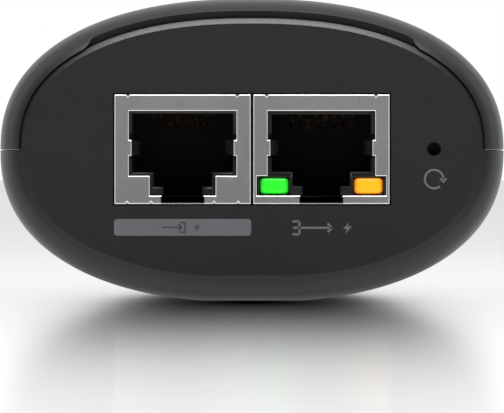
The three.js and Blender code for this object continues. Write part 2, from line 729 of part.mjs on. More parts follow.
const windowOut = CORE_WIDTH / 2 - CORE_LEG;
const windowEnd = CORE_DEPTH / 2 - CORE_LEG;
const flangeEnd = windowEnd - PART_GAP;

function transformerCore() {
  const body = standing(CORE_WIDTH, CORE_DEPTH, CORE_HEIGHT);
  const ends = [-windowEnd, windowEnd];
  const height = [-TOOL_REACH, CORE_HEIGHT + TOOL_REACH];
  const left = block([-windowOut, -CORE_MIDDLE / 2], ends, height);
  const right = block([CORE_MIDDLE / 2, windowOut], ends, height);
  return cut(body, left, right).translate(0, 0, -CORE_HEIGHT / 2);
}

const tubeX = CORE_MIDDLE / 2 + PART_GAP + BOBBIN_WALL;
const tubeZ = CORE_HEIGHT / 2 + PART_GAP + BOBBIN_WALL;
const span = (half) => [-half, half];

function transformerBobbin() {
  const tube = block(span(tubeX), span(flangeEnd), span(tubeZ));
  const flangeX = windowOut - PART_GAP;
  const flanges = [-1, 1].map((side) => {
    const middle = side * (flangeEnd - FLANGE_THICK / 2);
    const thick = [middle - FLANGE_THICK / 2, middle + FLANGE_THICK / 2];
    return block(span(flangeX), thick, span(FLANGE_HEIGHT / 2));
  });
  const bore = block(
    span(tubeX - BOBBIN_WALL),
    span(flangeEnd + TOOL_REACH),
    span(tubeZ - BOBBIN_WALL),
  );
  return cut(join(tube, ...flanges), bore);
}

function transformerWinding() {
  const end = flangeEnd - FLANGE_THICK - FIT_GAP;
  const wide = windowOut - 2 * PART_GAP;
  const tall = FLANGE_HEIGHT / 2 - TAPE_SUNK;
  const wrap = mirrored([
    [wide - TAPE_CORNER, -tall],
    [wide, TAPE_CORNER - tall],
    [wide, tall - TAPE_CORNER],
    [wide - TAPE_CORNER, tall],
  ]);
  const inner = block(span(tubeX + FIT_GAP), span(end + TOOL_REACH), span(tubeZ + FIT_GAP));
  return cut(alongY(wrap, -end, end), inner);
}

const TRANSFORMER = [-0.44, 0.59, FLANGE_HEIGHT / 2];
place("transformer_core", transformerCore(), FERRITE, ...TRANSFORMER);
place("transformer_bobbin", transformerBobbin(), CREAM, ...TRANSFORMER);
place("transformer_winding", transformerWinding(), TAPE, ...TRANSFORMER);

// Output inductor: a drum core with its winding between the flanges.
const DRUM_RADIUS = 5.6;
const DRUM_WAIST = 2.8;
const DRUM_HEIGHT = 9;
const DRUM_FLANGE = 1.4;
const DRUM_WIRE_SUNK = 0.5; // how far the wire lies inside the flanges' edge

function drumCore() {
  const top = DRUM_HEIGHT - DRUM_FLANGE;
  return turned([
    [0, 0],
    [DRUM_RADIUS, 0],
    [DRUM_RADIUS, DRUM_FLANGE],
    [DRUM_WAIST, DRUM_FLANGE],
    [DRUM_WAIST, top],
    [DRUM_RADIUS, top],
    [DRUM_RADIUS, DRUM_HEIGHT],
    [0, DRUM_HEIGHT],
  ]);
}

const drumWinding = ring(
  DRUM_WAIST + FIT_GAP,
  DRUM_RADIUS - DRUM_WIRE_SUNK,
  DRUM_FLANGE + FIT_GAP,
  DRUM_HEIGHT - DRUM_FLANGE - FIT_GAP,
);
place("inductor_core", drumCore(), FERRITE, -0.3, 0.88);
place("inductor_winding", drumWinding, COPPER, -0.3, 0.88);

// Power switch on its heat sink: fins on the far side, a pad between the sink and the transistor.
const SINK_WIDTH = 16;
const SINK_HEIGHT = 14;
const SINK_PLATE = 2;
const FIN_DEPTH = 5;
const FIN_THICK = 1;
const FINS = 5;
const PAD_THICK = 0.4;
const PAD_WIDTH = 11.2;
const PAD_BOTTOM = 1.6;
const TRANSISTOR_WIDTH = 10;
const TRANSISTOR_BACK = 4.6; // from the sink's face to the transistor's far side
const TRANSISTOR_RISE = [2, 9.4];
const METAL_TAB_THICK = 1.3;
const METAL_TAB_TOP = 13.4;
const LEADS_WIDTH = 8;
const LEADS_DEPTH = [-3, -2];
const LEADS_TOP = 2.4;

function heatSink() {
  const plate = block(span(SINK_WIDTH / 2), [0, SINK_PLATE], [0, SINK_HEIGHT]);
  const fins = Array.from({ length: FINS }, (_, index) => {
    const x = (index / (FINS - 1) - 0.5) * (SINK_WIDTH - FIN_THICK);
    const sides = [x - FIN_THICK / 2, x + FIN_THICK / 2];
    return block(sides, [SINK_PLATE / 2, SINK_PLATE + FIN_DEPTH], [0, SINK_HEIGHT]);
  });
  return join(plate, ...fins);
}

function powerSwitch() {
  const wide = span(TRANSISTOR_WIDTH / 2);
  const body = block(wide, [-TRANSISTOR_BACK, -PAD_THICK], TRANSISTOR_RISE);
  const tabDepth = [-METAL_TAB_THICK - PAD_THICK, -PAD_THICK];
  const tab = block(wide, tabDepth, [TRANSISTOR_RISE[0], METAL_TAB_TOP]);
  return join(body, tab, block(span(LEADS_WIDTH / 2), LEADS_DEPTH, [0, LEADS_TOP]));
}

const SINK = [0.58, 0.59];
const pad = block(span(PAD_WIDTH / 2), [-PAD_THICK, 0], [PAD_BOTTOM, SINK_HEIGHT]);
place("heat_sink", heatSink(), ALUMINIUM, ...SINK);
place("thermal_pad", pad, PAD_GREY, ...SINK);
place("power_switch", powerSwitch(), EPOXY, ...SINK);

export default part;
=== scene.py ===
# %% [markdown]
# # An inline network power injector
# The object is an oval moulded case with two metal network jacks in its front end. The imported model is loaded
# first and stays fixed. Everything made here goes where that model says, in metres, with the port face
# towards -Y, +Z up, and the origin under the middle of the case.

# %% Load the frame
import json
from contextlib import contextmanager
import bmesh
import bpy
import numpy as np
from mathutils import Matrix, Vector

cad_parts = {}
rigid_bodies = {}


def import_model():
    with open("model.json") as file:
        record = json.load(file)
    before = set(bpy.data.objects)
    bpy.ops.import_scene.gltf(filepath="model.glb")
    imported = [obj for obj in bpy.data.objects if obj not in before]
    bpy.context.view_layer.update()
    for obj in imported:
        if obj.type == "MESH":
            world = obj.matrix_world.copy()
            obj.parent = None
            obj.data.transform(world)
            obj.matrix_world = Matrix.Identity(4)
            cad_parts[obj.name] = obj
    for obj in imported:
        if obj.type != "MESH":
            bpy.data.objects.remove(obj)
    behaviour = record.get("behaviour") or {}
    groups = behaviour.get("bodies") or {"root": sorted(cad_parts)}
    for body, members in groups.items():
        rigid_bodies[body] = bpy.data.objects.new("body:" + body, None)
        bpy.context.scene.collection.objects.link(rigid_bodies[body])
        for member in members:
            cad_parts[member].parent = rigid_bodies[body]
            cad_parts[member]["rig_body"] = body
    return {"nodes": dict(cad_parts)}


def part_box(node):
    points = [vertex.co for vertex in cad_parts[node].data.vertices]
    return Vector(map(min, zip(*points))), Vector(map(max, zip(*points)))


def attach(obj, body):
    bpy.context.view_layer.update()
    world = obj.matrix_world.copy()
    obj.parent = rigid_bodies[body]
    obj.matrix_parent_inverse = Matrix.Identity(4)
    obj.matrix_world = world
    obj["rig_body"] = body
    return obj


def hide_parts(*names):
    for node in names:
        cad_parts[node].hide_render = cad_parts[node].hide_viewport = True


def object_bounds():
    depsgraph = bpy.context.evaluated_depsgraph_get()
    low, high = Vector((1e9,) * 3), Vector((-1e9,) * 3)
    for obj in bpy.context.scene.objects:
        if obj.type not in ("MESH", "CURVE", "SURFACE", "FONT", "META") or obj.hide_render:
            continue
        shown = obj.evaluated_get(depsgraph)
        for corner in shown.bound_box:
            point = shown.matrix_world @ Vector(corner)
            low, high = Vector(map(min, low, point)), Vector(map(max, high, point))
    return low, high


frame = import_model()
cad_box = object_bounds()
print("the model's box:", [tuple(round(v, 4) for v in corner) for corner in cad_box])

MM = 0.001
MERGE = 0.002 * MM  # points closer than this are one point
RNG = np.random.default_rng(7)

# %% [markdown]
# ## Turning arrays into meshes
# A surface is worked out as a whole array of points, rows by columns, and the faces are the squares between
# them. Several such sheets make one piece: their shared edges are merged, what is left open is closed with a
# flat face, and the faces are turned outwards. Writing the arrays with foreach_set is fast, and it keeps the
# shape in one formula that can be changed later.

# %% Mesh helpers


def grid(points, close_rows=False, close_columns=False):
    """Squares between neighbouring points of an array (rows, columns, 3), in millimetres."""
    rows, columns = points.shape[:2]
    index = np.arange(rows * columns).reshape(rows, columns)
    if close_rows:
        index = np.vstack([index, index[:1]])
    if close_columns:
        index = np.hstack([index, index[:, :1]])
    quads = np.stack([index[:-1, :-1], index[:-1, 1:], index[1:, 1:], index[1:, :-1]], axis=-1)
    return points.reshape(-1, 3), quads.reshape(-1, 4)


def mesh_from(name, sheets):
    """One mesh from several (points, faces) pairs, each array of faces having its own corner count."""
    mesh = bpy.data.meshes.new(name)
    shifts = np.cumsum([0] + [len(points) for points, _ in sheets[:-1]])
    points = np.concatenate([points for points, _ in sheets]) * MM
    corners = np.concatenate([(faces + shift).ravel() for (_, faces), shift in zip(sheets, shifts)])
    sizes = np.concatenate([np.full(len(faces), faces.shape[1]) for _, faces in sheets])
    mesh.vertices.add(len(points))
    mesh.vertices.foreach_set("co", points.ravel())
    mesh.loops.add(len(corners))
    mesh.loops.foreach_set("vertex_index", corners.astype(np.int32))
    mesh.polygons.add(len(sizes))
    starts = np.concatenate([[0], np.cumsum(sizes)[:-1]])
    mesh.polygons.foreach_set("loop_start", starts.astype(np.int32))
    mesh.update(calc_edges=True)
    mesh.validate()
    return mesh


@contextmanager
def edited(mesh):
    """The mesh as a bmesh, written back when the block ends."""
    work = bmesh.new()
    work.from_mesh(mesh)
    yield work
    work.to_mesh(mesh)
    work.free()


def closed(mesh):
    """Merges shared points, closes what is still open with flat faces, and turns the faces outwards."""
    with edited(mesh) as work:
        bmesh.ops.remove_doubles(work, verts=work.verts, dist=MERGE)
        bmesh.ops.delete(work, geom=[edge for edge in work.edges if edge.is_wire], context="EDGES")
        open_edges = [edge for edge in work.edges if edge.is_boundary]
        bmesh.ops.holes_fill(work, edges=open_edges, sides=0)
        bmesh.ops.recalc_face_normals(work, faces=work.faces)
        left = sum(1 for edge in work.edges if not edge.is_manifold)
    return left


def smooth(mesh, angle=32):
    """Shades a mesh smooth, apart from the edges that turn by more than the angle in degrees."""
    mesh.shade_smooth()
    mesh.set_sharp_from_angle(angle=np.radians(angle))


def finish(piece, material, body, replaces=()):
    """Gives a finished piece its material, the body it moves with and what it stands for."""
    piece.data.materials.clear()
    piece.data.materials.append(material)
    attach(piece, body)
    if replaces:
        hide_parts(*replaces)
    return piece


def body_of(node):
    return frame["nodes"][node]["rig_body"]


def box_of(node):
    """A node's lowest and highest corners in millimetres."""
    return [np.array(corner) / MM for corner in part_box(node)]


def linked(name, data):
    """A new object in the scene."""
    made = bpy.data.objects.new(name, data)
    bpy.context.scene.collection.objects.link(made)
    return made


def add_piece(name, sheets, look, node, replaces=True, angle=32):
    """Makes a piece that moves with a node's body and, unless told otherwise, replaces the node."""
    mesh = mesh_from(name, sheets)
    left = closed(mesh)
    smooth(mesh, angle)
    piece = linked(name, mesh)
    finish(piece, look.material, body_of(node), [node] if replaces else ())
    print(f"{name}: {len(mesh.polygons)} faces, {left} open edges")
    return piece


def rounded(piece, width, segments=2, angle=35):
    """Rounds a piece's sharp edges by a width in millimetres."""
    bevel = piece.modifiers.new("edges", "BEVEL")
    bevel.width = width * MM
    bevel.segments = segments
    bevel.limit_method = "ANGLE"
    bevel.angle_limit = np.radians(angle)
    bevel.use_clamp_overlap = True
    bevel.miter_outer = "MITER_ARC"
    normals = piece.modifiers.new("normals", "WEIGHTED_NORMAL")
    normals.keep_sharp = True
    return piece


def copy_of(node, look, width=0):
    """A copy of a CAD node with its triangles merged into flat faces, and its edges rounded by a width."""
    piece = linked(f"{node}_finished", frame["nodes"][node].data.copy())
    with edited(piece.data) as work:
        bmesh.ops.remove_doubles(work, verts=work.verts, dist=MERGE)
        bmesh.ops.dissolve_limit(work, angle_limit=np.radians(0.5), verts=work.verts, edges=work.edges)
    smooth(piece.data, 35)
    finish(piece, look.material, body_of(node), [node])
    if width:
        rounded(piece, width)
    return piece


def cut_with(piece, sheets):
    """Cuts closed shapes out of a piece, with the boolean worked out at once."""
    tool_mesh = mesh_from("tool", sheets)
    closed(tool_mesh)
    tool = linked("tool", tool_mesh)
    cut = piece.modifiers.new("cut", "BOOLEAN")
    cut.operation = "DIFFERENCE"
    cut.solver = "EXACT"
    cut.object = tool
    bpy.context.view_layer.update()
    graph = bpy.context.evaluated_depsgraph_get()
    made = bpy.data.meshes.new_from_object(piece.evaluated_get(graph))
    piece.modifiers.remove(cut)
    old, piece.data = piece.data, made
    made.name = old.name
    bpy.data.meshes.remove(old)
    bpy.data.objects.remove(tool)
    bpy.data.meshes.remove(tool_mesh)
    return piece


# %% [markdown]
# ## Shapes that repeat
# Three small makers cover most moulded and turned pieces: a profile turned round an upright axis, a tube
# swept along a path, and a block with chosen sizes that is later given round edges.

# %% Turned, swept and block shapes


def turned(profile, centre, sides=48):
    """Turns (radius, height) pairs round an upright axis: x = r cos t, y = r sin t, z = height."""
    profile = np.asarray(profile, float)
    turn = np.linspace(0, 2 * np.pi, sides, endpoint=False)
    radius, height = profile[:, :1], profile[:, 1:]
    points = np.stack(
        [radius * np.cos(turn), radius * np.sin(turn), np.broadcast_to(height, (len(profile), sides))], -1
    )
    return grid(points + np.asarray(centre), close_columns=True)


def swept(path, radius, lean, sides=8):
    """A tube: at each point of the path, a circle in the plane of two vectors square to the path's run."""
    run = np.gradient(path, axis=0)
    run /= np.linalg.norm(run, axis=1, keepdims=True)
    side = np.cross(run, lean)
    side /= np.linalg.norm(side, axis=1, keepdims=True)
    up = np.cross(side, run)
    turn = np.linspace(0, 2 * np.pi, sides, endpoint=False)[None, :, None]
    points = path[:, None] + radius * (side[:, None] * np.cos(turn) + up[:, None] * np.sin(turn))
    return grid(points, close_columns=True)


UNIT = np.array([[x, y, z] for x in (0, 1) for y in (0, 1) for z in (0, 1)], float)
UNIT_FACES = np.array(
    [[0, 1, 3, 2], [4, 6, 7, 5], [0, 4, 5, 1], [2, 3, 7, 6], [0, 2, 6, 4], [1, 5, 7, 3]]
)


def blocks(lows, highs):
    """Many blocks at once, from arrays of lowest and highest corners."""
    lows, highs = np.atleast_2d(lows).astype(float), np.atleast_2d(highs).astype(float)
    points = lows[:, None] + UNIT[None] * (highs - lows)[:, None]
    faces = UNIT_FACES[None] + 8 * np.arange(len(lows))[:, None, None]
    return points.reshape(-1, 3), faces.reshape(-1, 4)


def prism(outline, low, high, axis=1):
    """A flat outline carried along one axis. The outline's two numbers are the other axes in order."""
    outline = np.asarray(outline, float)
    count = len(outline)
    ends = [np.insert(outline, axis, level, axis=1) for level in (low, high)]
    points = np.concatenate(ends)
    here = np.arange(count)
    there = np.roll(here, -1)
    return points, np.stack([here, there, there + count, here + count], -1)


# %% [markdown]
# ## Finishes
# Every finish is a shader whose colour, roughness and fine relief come from noise in Object coordinates,
# which are metres here. The noise scale is therefore one over the size of the grain in metres. A helper
# makes the common part, and a finish that needs more, such as brushed metal, adds its own nodes.

# %% Shader helper


class Finish:
    """A Principled shader with colour mottling, uneven roughness and a fine bump."""

    def __init__(self, name, dark, light, rough, grain, bump, metal=0.0, stretch=(1, 1, 1), slot=None):
        self.material = bpy.data.materials.new(name)
        self.slot = slot or name
        self.material.use_nodes = True
        self.tree = self.material.node_tree
        self.shader = self.tree.nodes["Principled BSDF"]
        self.shader.inputs["Metallic"].default_value = metal
        self.place = self.node("ShaderNodeTexCoord").outputs["Object"]
        mapping = self.node("ShaderNodeMapping")
        mapping.inputs["Scale"].default_value = stretch
        self.link(self.place, mapping.inputs["Vector"])
        self.mapped = mapping.outputs["Vector"]
        broad = self.noise(7, 4)
        fine = self.noise(grain, 3)
        self.colour = self.ramp(broad, (*dark, 1), (*light, 1))
        self.link(self.colour, self.shader.inputs["Base Color"])
        self.link(self.span(fine, *rough), self.shader.inputs["Roughness"])
        relief = self.node("ShaderNodeBump")
        relief.inputs["Strength"].default_value = 0.6
        relief.inputs["Distance"].default_value = bump * MM
        self.link(fine, relief.inputs["Height"])
        self.link(relief.outputs["Normal"], self.shader.inputs["Normal"])

    def node(self, kind, **settings):
        made = self.tree.nodes.new(kind)
        for key, value in settings.items():
            setattr(made, key, value)
        return made

    def link(self, source, target):
        self.tree.links.new(source, target)

    def noise(self, size, detail=2):
        """Noise whose grains are about the given size in millimetres."""
        made = self.node("ShaderNodeTexNoise")
        made.inputs["Scale"].default_value = 1 / (size * MM)
        made.inputs["Detail"].default_value = detail
        self.link(self.mapped, made.inputs["Vector"])
        return made.outputs["Fac"]

    def ramp(self, factor, first, second, start=0.3, end=0.7):
        made = self.node("ShaderNodeValToRGB")
        made.color_ramp.elements[0].position, made.color_ramp.elements[1].position = start, end
        made.color_ramp.elements[0].color, made.color_ramp.elements[1].color = first, second
        self.link(factor, made.inputs["Fac"])
        return made.outputs["Color"]

    def span(self, factor, low, high, start=0.3, end=0.7):
        made = self.node("ShaderNodeMapRange")
        for key, value in zip(("From Min", "From Max", "To Min", "To Max"), (start, end, low, high)):
            made.inputs[key].default_value = value
        self.link(factor, made.inputs["Value"])
        return made.outputs["Result"]

    def math(self, operation, first, second=None):
        made = self.node("ShaderNodeMath", operation=operation)
        for socket, value in zip(made.inputs, (first, second)):
            if isinstance(value, (int, float)):
                socket.default_value = value
            elif value is not None:
                self.link(value, socket)
        return made.outputs[0]

    def mix(self, factor, first, second):
        made = self.node("ShaderNodeMix", data_type="RGBA")
        self.link(factor, made.inputs["Factor"])
        for socket, value in ((made.inputs[6], first), (made.inputs[7], second)):
            if isinstance(value, tuple):
                socket.default_value = value
            else:
                self.link(value, socket)
        return made.outputs[2]

    def bell(self, value):
        """exp(-v^2), which is 1 at zero and fades to both sides."""
        return self.math("EXPONENT", self.math("MULTIPLY", self.math("MULTIPLY", value, value), -1.0))

    def axes(self, vector=None):
        made = self.node("ShaderNodeSeparateXYZ")
        self.link(vector or self.place, made.inputs[0])
        return made.outputs

    def axes_from(self, middle):
        """The coordinates of a place, counted from a point given in millimetres."""
        centred = self.node("ShaderNodeMapping")
        centred.inputs["Location"].default_value = [-value * MM for value in middle]
        self.link(self.place, centred.inputs["Vector"])
        return self.axes(centred.outputs["Vector"])


def grey(value):
    return (value, value, value)


# %% [markdown]
# ### Plastics
# The case is charcoal plastic from a spark-eroded mould: a fine even grain and a soft sheen. The jack inserts
# are a smoother black moulding, and the chips a harder, sandier one.

# %% Plastics
CASE = Finish("case_charcoal", (0.0105, 0.0105, 0.0108), (0.0125, 0.0125, 0.0128), (0.31, 0.39), 0.22, 0.012)
CASE.shader.inputs["Specular IOR Level"].default_value = 0.5
MOULDING = Finish("jack_moulding", grey(0.004), grey(0.007), (0.28, 0.38), 0.4, 0.004)
DULL_FROM, DULL_TO = -0.0690, -0.0670  # the walls turn from satin to dull here, in metres
deep = MOULDING.span(MOULDING.axes()[1], 0, 0.62, DULL_FROM, DULL_TO)
MOULDING.link(MOULDING.math("ADD", MOULDING.span(MOULDING.noise(0.4), 0.28, 0.36), deep),
              MOULDING.shader.inputs["Roughness"])
EPOXY = Finish("black_moulding", grey(0.018), grey(0.028), (0.45, 0.62), 0.12, 0.02)
BOBBIN = Finish("bobbin_moulding", (0.48, 0.42, 0.30), (0.56, 0.50, 0.38), (0.35, 0.5), 0.5, 0.01)
PAD = Finish("thermal_pad", (0.28, 0.30, 0.33), (0.36, 0.38, 0.41), (0.75, 0.9), 0.25, 0.03)
COATING = Finish("suppressor_coating", (0.02, 0.10, 0.30), (0.03, 0.14, 0.38), (0.18, 0.3), 0.8, 0.02)
FERRITE = Finish("ferrite", (0.035, 0.036, 0.038), (0.06, 0.06, 0.062), (0.5, 0.72), 0.15, 0.03)
TAPE = Finish("winding_tape", (0.62, 0.42, 0.03), (0.72, 0.50, 0.05), (0.22, 0.36), 1.2, 0.02)

# %% [markdown]
# ### Metals
# The jack shields are pressed tin-plated brass: a soft grey with faint rolling lines. Contacts are gold over
# nickel. The heat sink is extruded aluminium with its drawing lines upright.

# %% Metals
LINES_UPRIGHT = (1, 1, 0.12)
SHIELD = Finish(
    "shield_plated", grey(0.49), (0.55, 0.555, 0.55), (0.27, 0.34), 0.5, 0.0015, 1.0, LINES_UPRIGHT
)
# A painted highlight: on the faces of the can's broken edges the shield's colour turns near white, so that they
# shine as thin bright lines.
painted_edge_highlight = SHIELD.node("ShaderNodeAttribute", attribute_name="painted_edge_highlight")
SHIELD.link(SHIELD.mix(painted_edge_highlight.outputs["Fac"], SHIELD.colour, (0.97, 0.97, 0.96, 1)),
            SHIELD.shader.inputs["Base Color"])
GOLD = Finish("contact_gold", (0.80, 0.42, 0.14), (0.92, 0.54, 0.20), (0.24, 0.30), 1.2, 0.0002, 1.0)
STEEL = Finish("bright_steel", grey(0.52), grey(0.62), (0.24, 0.36), 0.5, 0.004, 1.0)
SOLDER = Finish("solder", grey(0.55), grey(0.68), (0.18, 0.32), 0.6, 0.02, 1.0, slot="bright_steel")
ALUMINIUM = Finish("sink_aluminium", grey(0.62), grey(0.72), (0.3, 0.42), 0.35, 0.006, 1.0, (1, 1, 0.06))
COPPER = Finish("copper_wire", (0.60, 0.19, 0.06), (0.78, 0.30, 0.11), (0.16, 0.28), 1.5, 0.004, 1.0)

# %% [markdown]
# ### The circuit board
# The board is glass laminate under green solder mask. Copper tracks show through as paler lines. They are
# stripes that run along X in some cells and along Y in others, and a scatter of small tinned vias joins them.

# %% Board finish
BOARD = Finish("board_laminate", (0.004, 0.040, 0.016), (0.007, 0.055, 0.022), (0.22, 0.34), 0.25, 0.006)
board_x, board_y, _ = BOARD.axes()
cell = BOARD.node("ShaderNodeTexVoronoi", distance="CHEBYCHEV")
cell.inputs["Scale"].default_value = 1 / (7 * MM)
BOARD.link(BOARD.place, cell.inputs["Vector"])
pick = BOARD.axes(cell.outputs["Color"])
along_x = BOARD.math("GREATER_THAN", pick[0], 0.5)
run = BOARD.math("ADD", BOARD.math("MULTIPLY", board_y, along_x),
                 BOARD.math("MULTIPLY", board_x, BOARD.math("SUBTRACT", 1.0, along_x)))
stripe = BOARD.math("GREATER_THAN", BOARD.math("FRACT", BOARD.math("DIVIDE", run, 0.9 * MM)), 0.62)
track = BOARD.math("MULTIPLY", stripe, BOARD.math("GREATER_THAN", pick[1], 0.35))
tracked = BOARD.mix(track, BOARD.colour, (0.016, 0.115, 0.045, 1))
hole = BOARD.node("ShaderNodeTexVoronoi")
hole.inputs["Scale"].default_value = 1 / (3.2 * MM)
BOARD.link(BOARD.place, hole.inputs["Vector"])
via = BOARD.math("LESS_THAN", hole.outputs["Distance"], 0.085)
BOARD.link(BOARD.mix(via, tracked, (0.50, 0.46, 0.36, 1)), BOARD.shader.inputs["Base Color"])

# %% [markdown]
# ### Printed ink
# The marks on the port face are grey pad-printed ink, a little matt and slightly uneven in cover.

# %% Ink
BAR_INK, MARK_INK, DARK_INK = (
    Finish(name, dark, light, (0.5, 0.65), 0.2, 0.006, slot="case_charcoal")
    for name, dark, light in (
        ("bar_ink", (0.106, 0.108, 0.117), (0.118, 0.120, 0.130)),
        ("mark_ink", (0.105, 0.107, 0.112), (0.125, 0.127, 0.132)),
        ("dark_ink", (0.042, 0.042, 0.045), (0.052, 0.052, 0.056)),
    )
)

# %% [markdown]
# ## The case
# Two mouldings make the case. Their section is a superellipse, an oval that is a little boxier than an
# ellipse, flattened where it stands. Each shell could be a subdivided cage, but the section has a formula, so
# the shells are grids: angle round the section one way, and a profile from the port face to the back and home
# again inside the wall the other way. That keeps the reflections on the long sides clean.

# %% The case's section
(CASE_LEFT, CASE_FRONT, CASE_FOOT), (CASE_RIGHT, CASE_BACK, CASE_TOP) = [np.array(c) / MM for c in cad_box]
HALF_WIDTH = (CASE_RIGHT - CASE_LEFT) / 2
FOOT_DEPTH = 0.2
HALF_HEIGHT = (CASE_TOP + FOOT_DEPTH) / 2
SEAM = CASE_TOP - HALF_HEIGHT
OVAL_POWER = 2.3
WALL, END_WALL = 2.0, 2.4
EDGE_IN, EDGE_RUN = 3.05, 4.6
INNER_IN, INNER_RUN = 1.5, 3.0
FACE = CASE_FRONT + 0.09  # the face lies a hair behind the ink and the shields
SEAM_GAP = 0.12
RIM = 2.35  # width of the cover's rim round the upper half of the face
print(f"half width {HALF_WIDTH:.2f}, half height {HALF_HEIGHT:.2f}, seam at {SEAM:.2f} mm")


def section(angle, inset, lift=0.0):
    """|x/a|^p + |z/b|^p = 1 in polar form, moved inwards along its own normal by the inset."""
    angle, inset = np.broadcast_arrays(angle, inset)
    c, s = np.cos(angle), np.sin(angle)
    level = np.abs(c / HALF_WIDTH) ** OVAL_POWER + np.abs(s / HALF_HEIGHT) ** OVAL_POWER
    reach = level ** (-1 / OVAL_POWER)
    x, z = reach * c, reach * s
    nx = np.sign(c) * np.abs(x / HALF_WIDTH) ** (OVAL_POWER - 1) / HALF_WIDTH
    nz = np.sign(s) * np.abs(z / HALF_HEIGHT) ** (OVAL_POWER - 1) / HALF_HEIGHT
    size = np.hypot(nx, nz)
    x, z = x - inset * nx / size, z - inset * nz / size
    z = np.where(np.abs(s) < 1e-9, 0.0, z)
    z = lift + z * (1 - lift / HALF_HEIGHT)
    return x, np.maximum(SEAM + z, CASE_FOOT + inset)


def station(angle, inset, y, lift=0.0):
    """One row of points round the section. The inset and y may change with the angle."""
    x, z = section(angle, inset, lift)
    return np.stack([x, np.broadcast_to(y, x.shape), z], -1)


def stations(angle, profile, lift=0.0):
    """Rows of points: each (inset, y) of the profile, carried round the section by the angles."""
    return [station(angle, inset, y, lift) for inset, y in profile]


def quarter(inset, run, end, steps, start=0.0, stop=90.0):
    """A quarter of an ellipse between a side and an end: (inset, y) pairs from the side to the end."""
    turn = np.radians(np.linspace(start, stop, steps))
    return list(zip(inset * (1 - np.cos(turn)), end - np.sign(end) * run * (1 - np.sin(turn))))


def to_pole(row, shares, height):
    """Rows that shrink the last row towards the middle of the end wall, so that the wall closes."""
    middle = np.array([0, row[0, 1], height])
    return [middle + (row - middle) * share for share in shares]


# %% [markdown]
# ### The base
# The base carries the whole port face. Its upper half stands up inside the cover's rim as a plate with a
# chamfered edge, and that chamfer is what shines above the slot. The jack window is part of the face's own
# grid: each ray from the middle ends on the window's rectangle. The pinhole is cut afterwards.

# %% Base shell
shield_low, shield_high = box_of("jack_in_shield")
LEG = 2.6
WINDOW_GAP = 0.19
window_half = box_of("jack_out_shield")[1][0] + WINDOW_GAP
window_top = shield_high[2] + WINDOW_GAP
window_bottom = shield_low[2] + LEG - WINDOW_GAP

corner_angles = np.arctan2(
    [window_top - SEAM, window_top - SEAM, window_bottom - SEAM, window_bottom - SEAM],
    [window_half, -window_half, -window_half, window_half],
) % (2 * np.pi)
ROUND_STEPS = 256
ALL_ROUND = np.union1d(np.linspace(0, 2 * np.pi, ROUND_STEPS, endpoint=False), corner_angles)
UPPER = np.append(ALL_ROUND[ALL_ROUND < np.pi - 1e-9], np.pi)
LOWER = np.append(ALL_ROUND[ALL_ROUND > np.pi + 1e-9], 2 * np.pi)
LOWER = np.insert(LOWER, 0, np.pi)


def window_row(angle, y):
    """Where a ray from the middle of the seam at each angle meets the jack window's rectangle."""
    c, s = np.cos(angle), np.sin(angle)
    rise = np.where(s >= 0, window_top - SEAM, SEAM - window_bottom)
    reach = np.minimum(window_half / np.maximum(np.abs(c), 1e-9), rise / np.maximum(np.abs(s), 1e-9))
    return np.stack([reach * c, np.full_like(c, y), SEAM + reach * s], -1)


CREASE = 0.12
FACE_INSET = EDGE_IN - 0.05
INNER_FRONT, INNER_BACK = CASE_FRONT + END_WALL, CASE_BACK - END_WALL


def face_rows(angle):
    edge = station(angle, FACE_INSET, FACE)
    window = window_row(angle, FACE)
    shares = (1, 0.985, 0.5, 0.02, 0)
    rows = [window + (edge - window) * share for share in shares]
    return rows + [window_row(angle, INNER_FRONT)]


front_round = quarter(EDGE_IN, EDGE_RUN, CASE_FRONT + 0.03, 14, 0, 76)
back_round = quarter(EDGE_IN, EDGE_RUN, CASE_BACK, 14)
side_run = [(0.0, y) for y in np.linspace(CASE_FRONT + EDGE_RUN + 6, CASE_BACK - EDGE_RUN - 6, 9)]
outer = [(FACE_INSET, FACE), (FACE_INSET - CREASE, FACE + 0.05)] + front_round[::-1] + side_run + back_round
inner_back = [(WALL + inset, y) for inset, y in quarter(INNER_IN, INNER_RUN, INNER_BACK, 6)][::-1]
inner = inner_back + [(WALL, y) for y in np.linspace(INNER_BACK - 8, INNER_FRONT, 8)] + [(RIM, INNER_FRONT)]

outer_rows = stations(LOWER, outer)
inner_rows = stations(LOWER, inner)
lower_rows = (
    outer_rows
    + to_pole(outer_rows[-1], (0.9, 0.5, 0), SEAM)
    + to_pole(inner_rows[0], (0, 0.5, 0.9), SEAM)
    + inner_rows
    + [window_row(LOWER, INNER_FRONT)]
)

PLATE_CHAMFER = 0.37
plate = [
    (FACE_INSET, FACE),
    (FACE_INSET - 0.04, FACE + 0.02),
    (RIM + 0.04, FACE + PLATE_CHAMFER - 0.04),
    (RIM, FACE + PLATE_CHAMFER),
    (RIM, INNER_FRONT),
]
plate_rows = stations(UPPER, plate) + [window_row(UPPER, INNER_FRONT)]

(_, _, BOARD_BOTTOM), (_, _, BOARD_TOP) = box_of("main_board")
SCREWS = [f"board_screw_{count}" for count in (1, 2, 3, 4)]
screw_middles = [sum(box_of(node)) / 2 for node in SCREWS]
BOSS, BOSS_HOLE, BOSS_DEEP = 2.75, 1.55, 4.7
boss_profile = [
    (0, BOARD_BOTTOM - BOSS_DEEP),
    (BOSS_HOLE, BOARD_BOTTOM - BOSS_DEEP),
    (BOSS_HOLE, BOARD_BOTTOM - 0.3),
    (BOSS_HOLE + 0.3, BOARD_BOTTOM),
    (BOSS - 0.2, BOARD_BOTTOM),
    (BOSS, BOARD_BOTTOM - 0.2),
    (BOSS + 0.25, 1.6),
    (0, 1.6),
]
bosses = [turned(boss_profile, (x, y, 0)) for x, y, _ in screw_middles]

